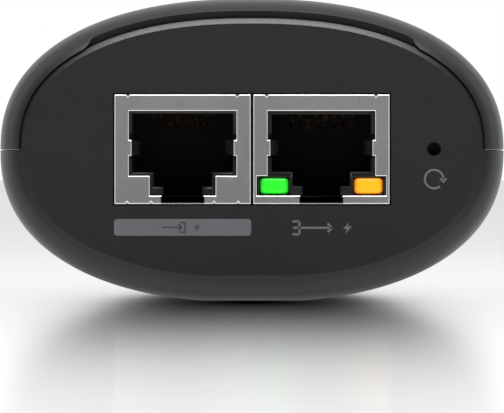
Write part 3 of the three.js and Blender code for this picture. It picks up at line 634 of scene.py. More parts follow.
LIP_OUT = HALF_WIDTH - WALL - 0.3
LIP_IN = LIP_OUT - 0.9
LIP_FRONT, LIP_BACK = shield_high[1], INNER_BACK - 2 * INNER_RUN
LIP_FOOT, LIP_SHOULDER, LIP_TOP = SEAM - 2.4, SEAM - 0.25, SEAM + 1.6
lip_outline = [
    (LIP_IN, LIP_FOOT), (HALF_WIDTH - 1, LIP_FOOT), (HALF_WIDTH - 1, LIP_SHOULDER), (LIP_OUT, LIP_SHOULDER),
    (LIP_OUT, LIP_TOP - 0.35), (LIP_OUT - 0.3, LIP_TOP), (LIP_IN, LIP_TOP),
]
lips = [prism(np.array(lip_outline) * (side, 1), LIP_FRONT, LIP_BACK) for side in (-1, 1)]

TONGUE_IN, TONGUE_RISE = 0.22, 0.1
TONGUE_HIDDEN = HALF_WIDTH - WALL + 0.2  # its inner edge lies just inside the wall
tongue_run = [(i, y) for i, y in front_round[::-1] + side_run + back_round if y > INNER_FRONT - 1]
tongue_out = np.array([(HALF_WIDTH - i - TONGUE_IN, min(y, CASE_BACK - TONGUE_IN)) for i, y in tongue_run])
tongue_back = np.array([(HALF_WIDTH - EDGE_IN - 2, INNER_BACK + 0.3), (TONGUE_HIDDEN, INNER_BACK - 2),
                        (TONGUE_HIDDEN, INNER_FRONT - 0.8)])
mirrored = [row[::-1] * (-1, 1) for row in (tongue_out, tongue_back)]
tongue_outline = np.concatenate([tongue_out, *mirrored, tongue_back])
tongue = prism(tongue_outline, SEAM - 0.3, SEAM + TONGUE_RISE, axis=2)

base = add_piece(
    "base_moulding",
    [grid(np.stack(face_rows(ALL_ROUND)), close_columns=True), grid(np.stack(plate_rows)),
     grid(np.stack(lower_rows)), *bosses, *lips, tongue],
    CASE, "base_shell", angle=24,
)

# %% [markdown]
# ### The pinhole
# A moulded hole with a lightly broken edge leads to the reset button. A short turned tool, wider at the
# mouth, cuts both in one go.

# %% Pinhole
pin_x, _, pin_z = sum(box_of("reset_plunger")) / 2
PIN_RADIUS, PIN_EDGE, PAST = 0.78, 0.12, 1  # the tool runs past both sides of the wall
pin_profile = [(0, -PAST), (PIN_RADIUS + PIN_EDGE, -PAST), (PIN_RADIUS + PIN_EDGE, 0), (PIN_RADIUS, 0.14),
               (PIN_RADIUS, END_WALL + PAST), (0, END_WALL + PAST)]
pin_tool, pin_faces = turned(pin_profile, (0, 0, 0), 40)
pin_tool = np.stack([pin_x + pin_tool[:, 0], FACE + pin_tool[:, 2], pin_z + pin_tool[:, 1]], -1)
cut_with(base, [(pin_tool, pin_faces)])
smooth(base.data, 24)
rounded(base, 0.09, 2, 40)
print("base after the pinhole:", len(base.data.polygons), "faces")

# %% [markdown]
# ### The cover
# The cover is the other half of the oval. Round the upper half of the face it ends in a narrow rim, and in
# the middle of that rim the underside is cut back to leave a slot for prying it off. The slot is only a
# change in where the rim's inner edge runs, so it is a smooth step in the grid.

# %% Top cover
SLOT_HALF, SLOT_RIM, SLOT_DEEP, SLOT_EASE = 19.0, 1.5, 1.8, 1.4
RIM_GAP = 0.06


def rim_inset(angle):
    """The rim's width: narrow over the slot, full beyond it, with an eased step between."""
    x = section(angle, RIM)[0]
    ease = np.clip((np.abs(x) - SLOT_HALF + 0.5) / SLOT_EASE, 0, 1)
    ease = ease * ease * (3 - 2 * ease)
    return SLOT_RIM + (RIM - RIM_GAP - SLOT_RIM) * ease


def on_front_round(inset):
    """How far back the rounded front edge lies at an inset, from the same quarter of an ellipse."""
    return CASE_FRONT + 0.03 + EDGE_RUN * (1 - np.sqrt(1 - (1 - inset / EDGE_IN) ** 2))


slim = rim_inset(UPPER)
rim_front = [(slim * share, on_front_round(slim * share)) for share in (1, 0.97, 0.8, 0.6)]
rest_of_round = [(inset, y) for inset, y in front_round[::-1] if inset < 0.5 * SLOT_RIM]
cover_outer = stations(UPPER, rim_front + rest_of_round + side_run + back_round, SEAM_GAP)
COVER_INNER_FRONT = INNER_FRONT + 0.4
cover_walls = [(WALL, y) for y in np.linspace(INNER_BACK - 8, COVER_INNER_FRONT, 8)]
cover_inner = stations(UPPER, inner_back + cover_walls, SEAM_GAP)
full = RIM - RIM_GAP
slot_back_y = CASE_FRONT + SLOT_DEEP
slot_profile = [(full, COVER_INNER_FRONT), (full, slot_back_y), (slim, slot_back_y - 0.02)]
slot_back = stations(UPPER, slot_profile, SEAM_GAP)
cover_rows = (
    cover_outer
    + to_pole(cover_outer[-1], (0.9, 0.5, 0), SEAM + SEAM_GAP)
    + to_pole(cover_inner[0], (0, 0.5, 0.9), SEAM + SEAM_GAP)
    + cover_inner
    + slot_back
)

CLIP_PLACES = [LIP_FRONT + 7, LIP_BACK - 7]
CLIP_HALF_LONG, CLIP_THICK = 3.5, 1.2
CLIP_FOOT, CLIP_SHOULDER, CLIP_TOP = SEAM - 4.8, SEAM + 1.9, SEAM + 5.2
clip_out = LIP_IN - 0.3
clip_outline = [
    (clip_out - CLIP_THICK, CLIP_FOOT + 0.5), (clip_out - CLIP_THICK + 0.5, CLIP_FOOT),
    (clip_out, CLIP_FOOT), (clip_out, CLIP_SHOULDER), (HALF_WIDTH - 1.2, CLIP_SHOULDER),
    (HALF_WIDTH - 1.5, CLIP_TOP), (clip_out - CLIP_THICK, CLIP_TOP),
]
clips = [prism(np.array(clip_outline) * (side, 1), y - CLIP_HALF_LONG, y + CLIP_HALF_LONG)
         for side in (-1, 1) for y in CLIP_PLACES]
cover_sheets = [grid(np.stack(cover_rows), close_rows=True), *clips]
cover = add_piece("cover_moulding", cover_sheets, CASE, "top_cover", angle=24)
rounded(cover, 0.09, 2, 40)

# %% [markdown]
# ## The jacks
# Each jack is a can of thin plated sheet round a black moulded insert. What the sheet shows is its broken
# edges, which catch the light as thin bright lines, made brighter by a painted highlight in their colour,
# and small stamping nicks in its rim. A bevel on so thin a sheet is squeezed by the short edges of the nicks,
# so the can is built from its outlines instead: each outline is offset by the width of the broken edge, and
# the flat between rim and mouth is filled.

# %% Outlines
JACK_FRONT, JACK_DEPTH, SHEET, BROKEN_EDGE = CASE_FRONT, 21.0, 0.35, 0.12


def offset(outline, distance):
    """Moves a closed outline sideways: each corner goes along the sum of its two edges' normals."""
    ahead = np.roll(outline, -1, 0) - outline
    normal = np.stack([ahead[:, 1], -ahead[:, 0]], -1) / np.linalg.norm(ahead, axis=1, keepdims=True)
    before = np.roll(normal, 1, 0)
    share = 1 + (normal * before).sum(1, keepdims=True)
    return outline + distance * (normal + before) / np.maximum(share, 0.5)


def at(outline, y):
    return np.insert(outline, 1, y, axis=1)


def ring_rows(rows):
    return grid(np.stack(rows), close_columns=True)


def flat_between(outlines, y):
    """Triangles that fill the flat between closed outlines, one inside the other, or inside a single one."""
    work = bmesh.new()
    for outline in outlines:
        corners = [work.verts.new(point) for point in at(outline, y)]
        for first, second in zip(corners, corners[1:] + corners[:1]):
            work.edges.new((first, second))
    bmesh.ops.triangle_fill(work, edges=work.edges, use_beauty=True)
    work.verts.index_update()
    points = np.array([vert.co for vert in work.verts])
    faces = np.array([[vert.index for vert in face.verts] for face in work.faces])
    work.free()
    return points, faces


# %% [markdown]
# ### Shields
# The rim is a rectangle with V nicks. The mouth steps down for the plug's body, its latch and the latch's
# key, and has a tab at each side where a grounding spring starts. In the lamp jack the mouth's lower corners
# reach out to the sides, so that the lamps show.

# %% Sizes of the rim and mouth
HALF_JACK, MOUTH_HALF, KEY_HALF, LATCH_HALF = 8.1, 6.4, 2.5, 3.92
SILL, SHELF, STEP, MOUTH_DROP = 0.13, 0.96, 3.32, 1.93
TAB_DROP, TAB_TALL, TAB_IN = 3.48, 1.87, 0.32
NICK_HALF, NICK_DEPTH = 0.2, 0.24
jack_middle = {}
for jack in ("jack_in", "jack_out"):
    low, high = box_of(f"{jack}_shield")
    jack_middle[jack] = (low[0] + high[0]) / 2
    jack_top, jack_bottom = high[2], low[2] + LEG
TALL = jack_top - jack_bottom
MOUTH_TOP = TALL - MOUTH_DROP
TAB_TOP = MOUTH_TOP - TAB_DROP
LAMP_HALF = 7.7  # the lamp jack's mouth reaches this far at the bottom


def rim_outline(low_nicks, depth):
    """The can's rim, anticlockwise, with a V of the given depth at each nick."""
    def nicks(places, z, inward):
        return [(x + way * NICK_HALF * np.sign(-inward), z + inward * depth * (way == 0))
                for x in places for way in (-1, 0, 1)]
    bottom = sorted(nicks(low_nicks, 0.0, 1))
    top = sorted(nicks((-6.5, 6.5), TALL, -1), reverse=True)
    return np.array([(-HALF_JACK, 0), *bottom, (HALF_JACK, 0), (HALF_JACK, TALL), *top, (-HALF_JACK, TALL)])


def mouth_outline(lower_half):
    """The mouth's right half from the bottom up, mirrored to the left: anticlockwise."""
    tab_bottom = TAB_TOP - TAB_TALL
    right = [(KEY_HALF, SILL), (KEY_HALF, SHELF), (lower_half, SHELF), (lower_half, STEP), (MOUTH_HALF, STEP),
             (MOUTH_HALF, tab_bottom), (MOUTH_HALF - TAB_IN, tab_bottom), (MOUTH_HALF - TAB_IN, TAB_TOP),
             (MOUTH_HALF, TAB_TOP), (MOUTH_HALF, MOUTH_TOP)]
    return np.array(right + [(-x, z) for x, z in right[::-1]])


# %% Shields
RIM_SLOPE, MOUTH_SLOPE = 0.84 * BROKEN_EDGE, 0.075  # how far back the broken edges run
LEG_FRONT, LEG_BACK, LEG_TOP = JACK_FRONT + 11, JACK_FRONT + 12.6, jack_top - 6
FEED_NICKS = (-6.6, -3.75, 3.75, 6.6)
for jack, lower_half, low_nicks in (("jack_in", LATCH_HALF, FEED_NICKS), ("jack_out", LAMP_HALF, ())):
    base_point = np.array([jack_middle[jack], jack_bottom])
    rim, plain = rim_outline(low_nicks, NICK_DEPTH) + base_point, rim_outline(low_nicks, 0.0) + base_point
    mouth = mouth_outline(lower_half) + base_point
    room = np.array([(-1, 0), (1, 0), (1, 1), (-1, 1)]) * (HALF_JACK - SHEET, TALL - 2 * SHEET)
    room = room + base_point + (0, SHEET)
    front, behind = JACK_FRONT, JACK_FRONT + SHEET
    rim_face = offset(rim, -BROKEN_EDGE)
    mouth_face = offset(mouth, min(BROKEN_EDGE, SILL / 2 + 0.03))
    back = JACK_FRONT + JACK_DEPTH
    mouth_back = np.maximum(mouth, (-np.inf, jack_bottom + SHEET + 0.01))
    can = [
        flat_between([rim_face, mouth_face], front),
        ring_rows([at(rim_face, front), at(rim, front + RIM_SLOPE), at(rim, behind),
                   at(plain, behind + 0.02), at(plain, back)]),
        ring_rows([at(mouth_face, front), at(mouth, front + MOUTH_SLOPE), at(mouth, behind),
                   at(mouth_back, behind)]),
        flat_between([plain], back),
        ring_rows([at(room, behind), at(room, back - SHEET)]),
        flat_between([room], back - SHEET),
        flat_between([room, mouth_back], behind),
    ]
    for side in (-1, 1):
        leg_x = side * (HALF_JACK - SHEET / 2)
        can.append(blocks((leg_x - SHEET / 2 + jack_middle[jack], LEG_FRONT, jack_bottom - LEG),
                          (leg_x + SHEET / 2 + jack_middle[jack], LEG_BACK, LEG_TOP)))
    shield = add_piece(f"{jack}_can", can, SHIELD, f"{jack}_shield", angle=20)
    # A painted highlight: the broken edges' faces, which look half forwards, are marked here, and the shield's
    # colour turns near white on them.
    facing = np.empty(3 * len(shield.data.polygons))
    shield.data.polygons.foreach_get("normal", facing)
    broken = (facing[1::3] < -0.3) & (facing[1::3] > -0.95)
    edge_layer = shield.data.attributes.new("painted_edge_highlight", "FLOAT", "FACE")
    edge_layer.data.foreach_set("value", broken.astype(np.float32))
    print(jack, "broken edge faces:", int(broken.sum()))

# %% [markdown]
# ### Inserts
# The moulded mouth leads the plug in with a chamfer all round. The chamfer is only on the edges between the
# insert's front and its cavity, so those edges are picked by their place and bevelled at once. The ceiling is
# slotted like a comb for the contacts, a shape a single large face can't hold once its edges are rounded, so
# the insert is cut into triangles first. The slits by the tabs and the ramp under the latch are added here.

# %% Inserts
MOUTH_Y = JACK_FRONT + SHEET + 0.2
PLUG_HALF, NEAR = 5.9, 0.02
LEAD_IN = 0.42
SLIT_X, SLIT_HALF, SLIT_BACK = 6.2, 0.7, JACK_FRONT + 3
UPPER_SLIT, LOWER_SLIT = 0.77, 0.26
RAMP_Y, RAMP_Z = JACK_FRONT + SHEET + 0.04, jack_bottom + SHEET + 0.02
RAMP_RUN, RAMP_RISE, RAMP_HALF = 0.7, 0.45, KEY_HALF - 0.08
tab_top = jack_bottom + TAB_TOP
tab_bottom = tab_top - TAB_TALL
for jack, middle in jack_middle.items():
    insert = copy_of(f"{jack}_housing", MOULDING)
    with edited(insert.data) as work:
        lips = [
            edge for edge in work.edges
            if all(abs(vert.co.y / MM - MOUTH_Y) < NEAR for vert in edge.verts)
            and all(abs(vert.co.x / MM - middle) < PLUG_HALF + NEAR for vert in edge.verts)
            and all(vert.co.z / MM > jack_bottom + 0.85 for vert in edge.verts)
        ]
        bmesh.ops.bevel(
            work, geom=lips, offset=LEAD_IN * MM, segments=2, profile=0.5, affect="EDGES", clamp_overlap=True
        )
    slits = [
        blocks((middle + side * SLIT_X - SLIT_HALF, JACK_FRONT + SHEET, low),
               (middle + side * SLIT_X + SLIT_HALF, SLIT_BACK, high))
        for side in (-1, 1)
        for low, high in ((tab_top, tab_top + UPPER_SLIT), (tab_bottom - LOWER_SLIT, tab_bottom))
    ]
    cut_with(insert, slits)
    with edited(insert.data) as work:
        bmesh.ops.triangulate(work, faces=work.faces)
    smooth(insert.data, 30)
    rounded(insert, 0.04, 1, 40)
    wedge = [(RAMP_Y, RAMP_Z), (RAMP_Y + RAMP_RUN, RAMP_Z), (RAMP_Y + RAMP_RUN, RAMP_Z + RAMP_RISE)]
    ramp = prism(wedge, middle - RAMP_HALF, middle + RAMP_HALF, axis=0)
    add_piece(f"{jack}_latch_ramp", [ramp], CASE, f"{jack}_housing", replaces=False)
    print(jack, "insert:", len(lips), "mouth edges chamfered")

# %% [markdown]
# ### Grounding springs
# A strip of the sheet is folded in at each side of the mouth and runs back into the cavity, where it presses
# on the plug's own shell. It is one curve in plan, given the sheet's thickness and the strip's height.

# %% Grounding springs
SPRING_HEIGHT, SPRING_THICK = 1.75, 0.18
SPRING_FOOT_X, SPRING_NOSE_X, SPRING_BULGE = 6.42, 6.06, 0.95
SPRING_START, SPRING_LENGTH = 0.5, 6.5
spring_top = tab_top - 0.06
for jack, middle in jack_middle.items():
    sheets = []
    for side in (-1, 1):
        bend = np.linspace(0, np.pi / 2, 9)
        nose_x = SPRING_FOOT_X - (SPRING_FOOT_X - SPRING_NOSE_X) * np.sin(bend)
        nose = np.stack([nose_x, SPRING_START - 0.34 * np.cos(bend)], -1)
        run = np.linspace(0, 1, 18)[1:]
        arm_x = SPRING_NOSE_X - SPRING_BULGE * np.sin(np.pi * 0.62 * run)
        arm = np.stack([arm_x, SPRING_START + SPRING_LENGTH * run], -1)
        plan = np.concatenate([nose, arm])
        step = np.gradient(plan, axis=0)
        normal = np.stack([step[:, 1], -step[:, 0]], -1) / np.linalg.norm(step, axis=1, keepdims=True)
        outline = np.concatenate([plan, (plan + normal * SPRING_THICK)[::-1]])
        outline = np.stack([middle + side * outline[:, 0], JACK_FRONT + outline[:, 1]], -1)
        sheets.append(prism(outline, spring_top - SPRING_HEIGHT, spring_top, axis=2))
    springs = add_piece(f"{jack}_ground_springs", sheets, SHIELD, f"{jack}_shield", replaces=False)
    rounded(springs, 0.04, 1, 40)

# %% [markdown]
# ### Contacts
# Eight gold springs in each jack hang from the ceiling and bend down to meet the plug.

# %% Contacts
for jack in jack_middle:
    for number in range(1, 9):
        copy_of(f"{jack}_contact_{number}", GOLD, 0.05)

# %% [markdown]
# ### Lamp windows
# The link lamps are clear windows with light behind them. The lens is a rounded block. Its glow is strongest
# in the middle and falls off towards the edges, by the distance from the window's own middle.

# %% Lamps
LAMP_HALF_WIDE, LAMP_HALF_TALL, LAMP_POWER = 1.72, 0.98, 5  # a high power makes the bright middle boxy


def lamp_finish(name, middle, core, rim, power):
    """A glowing plastic whose light falls off from the middle of the window towards its edges."""
    dark, light = [value * 0.2 for value in rim], [value * 0.12 for value in core]
    look = Finish(name, dark, light, (0.3, 0.4), 0.5, 0.004)
    x, _, z = look.axes_from(middle)
    across, up = (
        look.math("POWER", look.math("ABSOLUTE", look.math("DIVIDE", place, half * MM)), LAMP_POWER)
        for place, half in ((x, LAMP_HALF_WIDE), (z, LAMP_HALF_TALL))
    )
    out = look.math("ADD", across, up)
    look.link(look.ramp(out, (*core, 1), (*rim, 1), 0.15, 0.9), look.shader.inputs["Emission Color"])
    look.shader.inputs["Emission Strength"].default_value = power
    return look


LAMPS = {
    "lamp_green": ((0.022, 1.0, 0.024), (0.0, 0.22, 0.004)),
    "lamp_orange": ((1.0, 0.53, 0.004), (0.55, 0.10, 0.0)),
}
for name, (core, rim) in LAMPS.items():
    low, high = box_of(name)
    look = lamp_finish(name, (low + high) / 2, core, rim, 0.97)
    lens = add_piece(f"{name}_window", [blocks(low, high)], look, name)
    rounded(lens, 0.42, 5)

# %% [markdown]
# ## Printed marks
# The port face carries plain printed signs: a grey bar with an arrow into a socket under the feed jack, an
# arrow out of a socket under the output jack, and a round arrow by the reset pinhole. They are flat ribbons
# of ink, a line drawn as points with a width, and they are meshes because the ink has a real thickness.

# %% Ink ribbons
INK_BACK, INK_FRONT = FACE + 0.01, FACE - 0.03


def ribbon(points, width):
    """A flat line of ink: the points are moved half a width to both sides along the line's normal."""
    points = np.asarray(points, float)
    step = np.gradient(points, axis=0)
    normal = np.stack([-step[:, 1], step[:, 0]], -1) / np.linalg.norm(step, axis=1, keepdims=True)
    outline = np.concatenate([points + normal * width / 2, (points - normal * width / 2)[::-1]])
    return prism(outline, INK_FRONT, INK_BACK)


def arc(x, z, radius, start, stop, steps=40):
    turn = np.radians(np.linspace(start, stop, steps))
    return np.stack([x + radius * np.cos(turn), z + radius * np.sin(turn)], -1)


def round_bar(x, z, width, height, corner):
    """A rectangle with round corners: four quarter circles in order."""
    reach_x, reach_z = width / 2 - corner, height / 2 - corner
    corners = [(1, 1, 0), (-1, 1, 90), (-1, -1, 180), (1, -1, 270)]
    return np.concatenate([
        arc(x + way_x * reach_x, z + way_z * reach_z, corner, turn, turn + 90, 10)
        for way_x, way_z, turn in corners
    ])


BOLT = [(0.16, 0.5), (-0.34, -0.1), (-0.03, -0.1), (-0.16, -0.5), (0.34, 0.12), (0.03, 0.12)]


def socket_sign(x, z, height, line, outward):
    """A square bracket for the socket, an arrow into or out of it, and a small bolt for power."""
    half = height / 2
    bracket = [(x - 0.55 * height, z + half), (x, z + half), (x, z - half), (x - 0.55 * height, z - half)]
    tail, tip = (x - 0.5 * height, x + 2.5 * height) if outward else (x - 2.3 * height, x - 0.35 * height)
    head = 0.34 * height
    arrow = [(tail, z), (tip - 0.2 * head, z)]
    point = [(tip - head, z + head), (tip, z), (tip - head, z - head)]
    bolt_x = x + (3.7 if outward else 1.2) * height
    lines = (bracket[:2], bracket[1:3], bracket[2:], arrow, point[:2], point[1:])
    ribs = [ribbon(part, line) for part in lines]
    return ribs + [prism(np.array(BOLT) * height + (bolt_x, z), INK_FRONT, INK_BACK)]


BAR_Z, BAR_WIDTH, BAR_HEIGHT = 8.76, 16.3, 2.0
BAR_FRONT = FACE - 0.015  # under the sign that is printed on it
bar = prism(round_bar(jack_middle["jack_in"], BAR_Z, BAR_WIDTH, BAR_HEIGHT, 0.42), BAR_FRONT, INK_BACK)
feed_sign = socket_sign(jack_middle["jack_in"] + 0.3, BAR_Z, 1.18, 0.2, False)
out_sign = socket_sign(jack_middle["jack_out"] - 2.6, BAR_Z - 0.05, 1.54, 0.27, True)

RESET_Z, RESET_RADIUS = 14.5, 1.1
loop = ribbon(arc(pin_x, RESET_Z, RESET_RADIUS, -50, -362, 60), 0.25)
tip = np.array([(-0.52, 0.12), (0.52, 0.12), (0.0, -0.52)]) + (pin_x + RESET_RADIUS, RESET_Z)
prints = {
    "feed_bar_print": ([bar], BAR_INK),
    "feed_sign_print": (feed_sign, DARK_INK),
    "output_sign_print": (out_sign, MARK_INK),
    "reset_sign_print": ([loop, prism(tip, INK_FRONT, INK_BACK)], MARK_INK),
}
for name, (sheets, ink) in prints.items():
    add_piece(name, sheets, ink, "base_shell", replaces=False)

# %% [markdown]
# ## What the cover hides
# Lifting the cover shows the board, so its parts are finished too. Moulded and pressed parts are copies of
# the model's nodes with their edges rounded. Round parts are turned again with more sides.

# %% Copies with rounded edges
MOULDED = ["magnetics_in", "magnetics_out", "bridge_rectifier_1", "bridge_rectifier_2",
           "powered_device_controller", "power_sourcing_controller", "processor_chip", "memory_chip",
           "optocoupler", "rectifier_diode", "power_switch", "reset_plunger"]
COPIES = {
    BOARD: (0.08, ["main_board", "reset_riser_board"]),
    STEEL: (0.14, ["reset_switch_body", "clock_crystal", *SCREWS]),
    EPOXY: (0.18, MOULDED),
    FERRITE: (0.4, ["transformer_core"]),
    BOBBIN: (0.2, ["transformer_bobbin"]),
    TAPE: (0.4, ["transformer_winding"]),
    ALUMINIUM: (0.14, ["heat_sink"]),
    PAD: (0.06, ["thermal_pad"]),
}
for look, (width, names) in COPIES.items():
    for node in names:
        copy_of(node, look, width)
print(sum(len(names) for _, names in COPIES.values()), "parts copied")

# %% [markdown]
# ### Capacitors, fuse, inductor and choke core
# These are turned profiles. A capacitor's sleeve ends short of the top, where the bare can shows with its
# three-way vent. The sleeve's pale stripe marks the negative lead: it is the part of the sleeve that lies
# on one side of the can's own middle.

# %% Turned parts


def middle_of(node):
    low, high = box_of(node)
    return (low[0] + high[0]) / 2, (low[1] + high[1]) / 2, low[2], high[2]


def vent_outline(reach, half):
    """A three-armed star: two corners at each arm's tip, and one where two arms' sides meet."""
    turn = np.arange(3) * 2 * np.pi / 3
    along, across = np.stack([np.cos(turn), np.sin(turn)], -1), np.stack([-np.sin(turn), np.cos(turn)], -1)
    notch = np.stack([np.cos(turn + np.pi / 3), np.sin(turn + np.pi / 3)], -1) * half / np.sin(np.pi / 3)
    return np.stack([reach * along - half * across, reach * along + half * across, notch], 1).reshape(-1, 2)


def sleeve_finish(name, middle, radius):
    dark, light = (0.010, 0.012, 0.022), (0.014, 0.017, 0.030)
    look = Finish(name, dark, light, (0.24, 0.32), 0.8, 0.0008, slot="capacitor_sleeve")
    x = look.axes_from(middle)[0]
    stripe = look.math("LESS_THAN", x, -0.86 * radius * MM)
    look.link(look.mix(stripe, look.colour, (0.42, 0.43, 0.45, 1)), look.shader.inputs["Base Color"])
    return look


for node in ("input_capacitor", "output_capacitor_1", "output_capacitor_2"):
    x, y, low, high = middle_of(node)
    radius = box_of(node)[1][0] - x
    turn = np.linspace(0, np.pi, 7)
    groove = np.stack([radius - 0.08 * radius * np.sin(turn), low + 1.6 + 1.2 * turn / np.pi], -1)
    top_edge = np.radians(np.linspace(0, 90, 6))
    shoulder = np.stack([radius - 0.9 + 0.9 * np.cos(top_edge), high - 0.75 + 0.7 * np.sin(top_edge)], -1)
    recess = high - 0.22
    profile = [(0, low), (radius - 0.5, low), (radius, low + 0.5), *groove, *shoulder,
               (radius - 1.25, high - 0.1), (radius - 1.3, recess), (0, recess)]
    sleeve = sleeve_finish(f"{node}_sleeve_finish", (x, y, 0), radius)
    add_piece(f"{node}_sleeve", [turned(profile, (x, y, 0), 64)], sleeve, node)
    disc_low, disc_high = recess - 0.08, high - 0.08
    disc = [(0, disc_low), (radius - 1.32, disc_low), (radius - 1.36, disc_high), (0, disc_high)]
    lid = add_piece(f"{node}_lid", [turned(disc, (x, y, 0), 64)], ALUMINIUM, node, replaces=False)
    vent = vent_outline(radius * 0.62, 0.09) + (x, y)
    cut_with(lid, [prism(vent, disc_high - 0.06, high + 0.1, axis=2)])
    smooth(lid.data)
    print(lid.name, "after the vent:", len(lid.data.polygons), "faces")

x, y, low, high = middle_of("line_fuse")
radius = 4.1
fuse = [(0, low), (radius - 0.2, low), (radius, low + 0.2), (radius, high - 0.7),
        (radius - 0.15, high - 0.25), (radius - 0.6, high), (0, high)]
add_piece("line_fuse_body", [turned(fuse, (x, y, 0), 64)], EPOXY, "line_fuse")

x, y, low, high = middle_of("inductor_core")
flange, waist, radius = 1.4, 2.8, 5.6
shoulder_low, shoulder_high = low + flange, high - flange
drum = [(0, low), (radius - 0.2, low), (radius, low + 0.2), (radius, shoulder_low - 0.2),
        (radius - 0.2, shoulder_low), (waist, shoulder_low), (waist, shoulder_high),
        (radius - 0.2, shoulder_high), (radius, shoulder_high + 0.2), (radius, high - 0.3),
        (radius - 0.3, high), (0.6, high), (0.5, high - 0.4), (0, high - 0.4)]
add_piece("inductor_drum", [turned(drum, (x, y, 0), 72)], FERRITE, "inductor_core")
layers = 9
along = np.linspace(0, layers * np.pi, layers * 8 + 1)
coil_low, coil_high = shoulder_low + 0.2, shoulder_high - 0.2
ridge_radius = radius - 0.95 + 0.42 * np.abs(np.sin(along))
ridge = np.stack([ridge_radius, coil_low + (coil_high - coil_low) * along / along[-1]], -1)
coil = [(waist + 0.2, coil_low), *ridge, (waist + 0.2, coil_high), (waist + 0.2, coil_low)]
add_piece("inductor_coil", [turned(coil, (x, y, 0), 72)], COPPER, "inductor_winding")

# %% [markdown]
# ### The choke's turns
# A common-mode choke is a ring with a winding on each side. One wire is a path that goes round the ring's
# section while it creeps along the ring: the section's path is a rounded square, and the tube follows it.

# %% Choke
x, y, low, high = middle_of("choke_core")
RING_OUT, RING_IN, WIRE = 5.6, 3.0, 0.42
core = [(RING_IN + 0.25, low), (RING_OUT - 0.3, low), (RING_OUT, low + 0.3), (RING_OUT, high - 0.3),
        (RING_OUT - 0.3, high), (RING_IN + 0.3, high), (RING_IN, high - 0.3), (RING_IN, low + 0.3),
        (RING_IN + 0.25, low)]
add_piece("choke_ring", [turned(core, (x, y, 0), 72)], FERRITE, "choke_core")
TURNS, STEPS = 13, 28
share = np.linspace(0, 1, TURNS * STEPS + 1)
around = 2 * np.pi * TURNS * share
corner = (np.abs(np.cos(around)) ** 4 + np.abs(np.sin(around)) ** 4) ** -0.25
half_radial, half_tall = (RING_OUT - RING_IN) / 2 + WIRE + 0.03, (high - low) / 2 + WIRE + 0.03
for number, facing in ((1, np.pi), (2, 0.0)):
    creep = facing + np.radians(58) * (2 * share - 1)
    reach = (RING_OUT + RING_IN) / 2 + half_radial * corner * np.cos(around)
    path = np.stack([x + reach * np.cos(creep), y + reach * np.sin(creep),
                     (low + high) / 2 + half_tall * corner * np.sin(around)], -1)
    lean = np.stack([-np.sin(creep), np.cos(creep), np.zeros_like(creep)], -1)
    node = f"choke_winding_{number}"
    add_piece(f"{node}_turns", [swept(path, WIRE - 0.02, lean)], COPPER, node)

# %% [markdown]
# ### The surge suppressor
# A ceramic disc dipped in blue coating, standing on two wire legs. The coating makes it a lens with a round
# edge: half the thickness goes with the square root of one minus the radius squared, evened out.

# %% Surge suppressor
low, high = box_of("surge_suppressor")
middle, disc_radius, half_thick = (low + high) / 2, (high[2] - low[2]) / 2, (high[1] - low[1]) / 2
turn = np.linspace(-np.pi / 2, np.pi / 2, 25)
lens = np.stack([disc_radius * np.cos(turn) ** 0.55, half_thick * np.sin(turn)], -1)
lens_points, lens_faces = turned(lens, (0, 0, 0), 56)
lens_points = middle + lens_points[:, [0, 2, 1]]
add_piece("surge_suppressor_disc", [(lens_points, lens_faces)], COATING, "surge_suppressor")

# %% [markdown]
# ### Leads
# A lead leaves the side of a package, bends down and ends in a foot on the board. One lead is an outline with
# a width. All the leads of a package are the same lead moved and turned at once, so a hundred of them stay a
# small mesh.

# %% Leads
LEAD_THICK, LEAD_RISE = 0.16, 0.9


def leads(node, sides, count, pitch, width, reach):
    """Gull-wing leads on the sides of a package: 0 is +X, 1 is +Y, 2 is -X and 3 is -Y."""
    low, high = box_of(node)
    middle, half = (low + high) / 2, (high - low) / 2
    rise = min(half[2], LEAD_RISE)
    out = np.array([(-0.1, rise), (0.25 * reach, rise), (0.5 * reach, 0), (reach, 0)])
    outline = np.concatenate([out + (0, LEAD_THICK), out[::-1]])
    points, faces = prism(outline, -width / 2, width / 2)
    sheets = []
    for side in sides:
        turn = side * np.pi / 2
        c, s = round(np.cos(turn)), round(np.sin(turn))
        spin = np.array([[c, -s, 0], [s, c, 0], [0, 0, 1]])
        edge = half[0] if side % 2 == 0 else half[1]
        shift = (np.arange(count) - (count - 1) / 2) * pitch
        placed = points[None] + np.stack([np.full(count, edge), shift, np.zeros(count)], -1)[:, None]
        placed = placed @ spin.T + (middle[0], middle[1], BOARD_TOP + 0.02)
        sheets += [(block_points, faces) for block_points in placed]
    add_piece(f"{node}_leads", sheets, SOLDER, node, replaces=False)


for jack in ("in", "out"):
    leads(f"magnetics_{jack}", (1, 3), 12, 1.1, 0.42, 1.1)
leads("processor_chip", (0, 1, 2, 3), 8, 0.75, 0.3, 0.8)
leads("memory_chip", (0, 2), 4, 0.95, 0.38, 0.9)
for node in ("bridge_rectifier_1", "bridge_rectifier_2"):
    leads(node, (1, 3), 2, 3.2, 0.8, 0.7)
for node in ("powered_device_controller", "power_sourcing_controller"):
    leads(node, (0, 1, 2, 3), 7, 0.75, 0.32, 0.35)
leads("optocoupler", (1, 3), 2, 2.5, 0.6, 1.0)
leads("rectifier_diode", (0, 2), 1, 1, 2.2, 1.0)

# %% [markdown]
# ### Small chip parts
# Resistors and ceramic capacitors fill the spaces between the large parts in rows. Each is a body between two
# tinned ends. The rows are places and a pitch, and which is a resistor comes from a seeded draw.

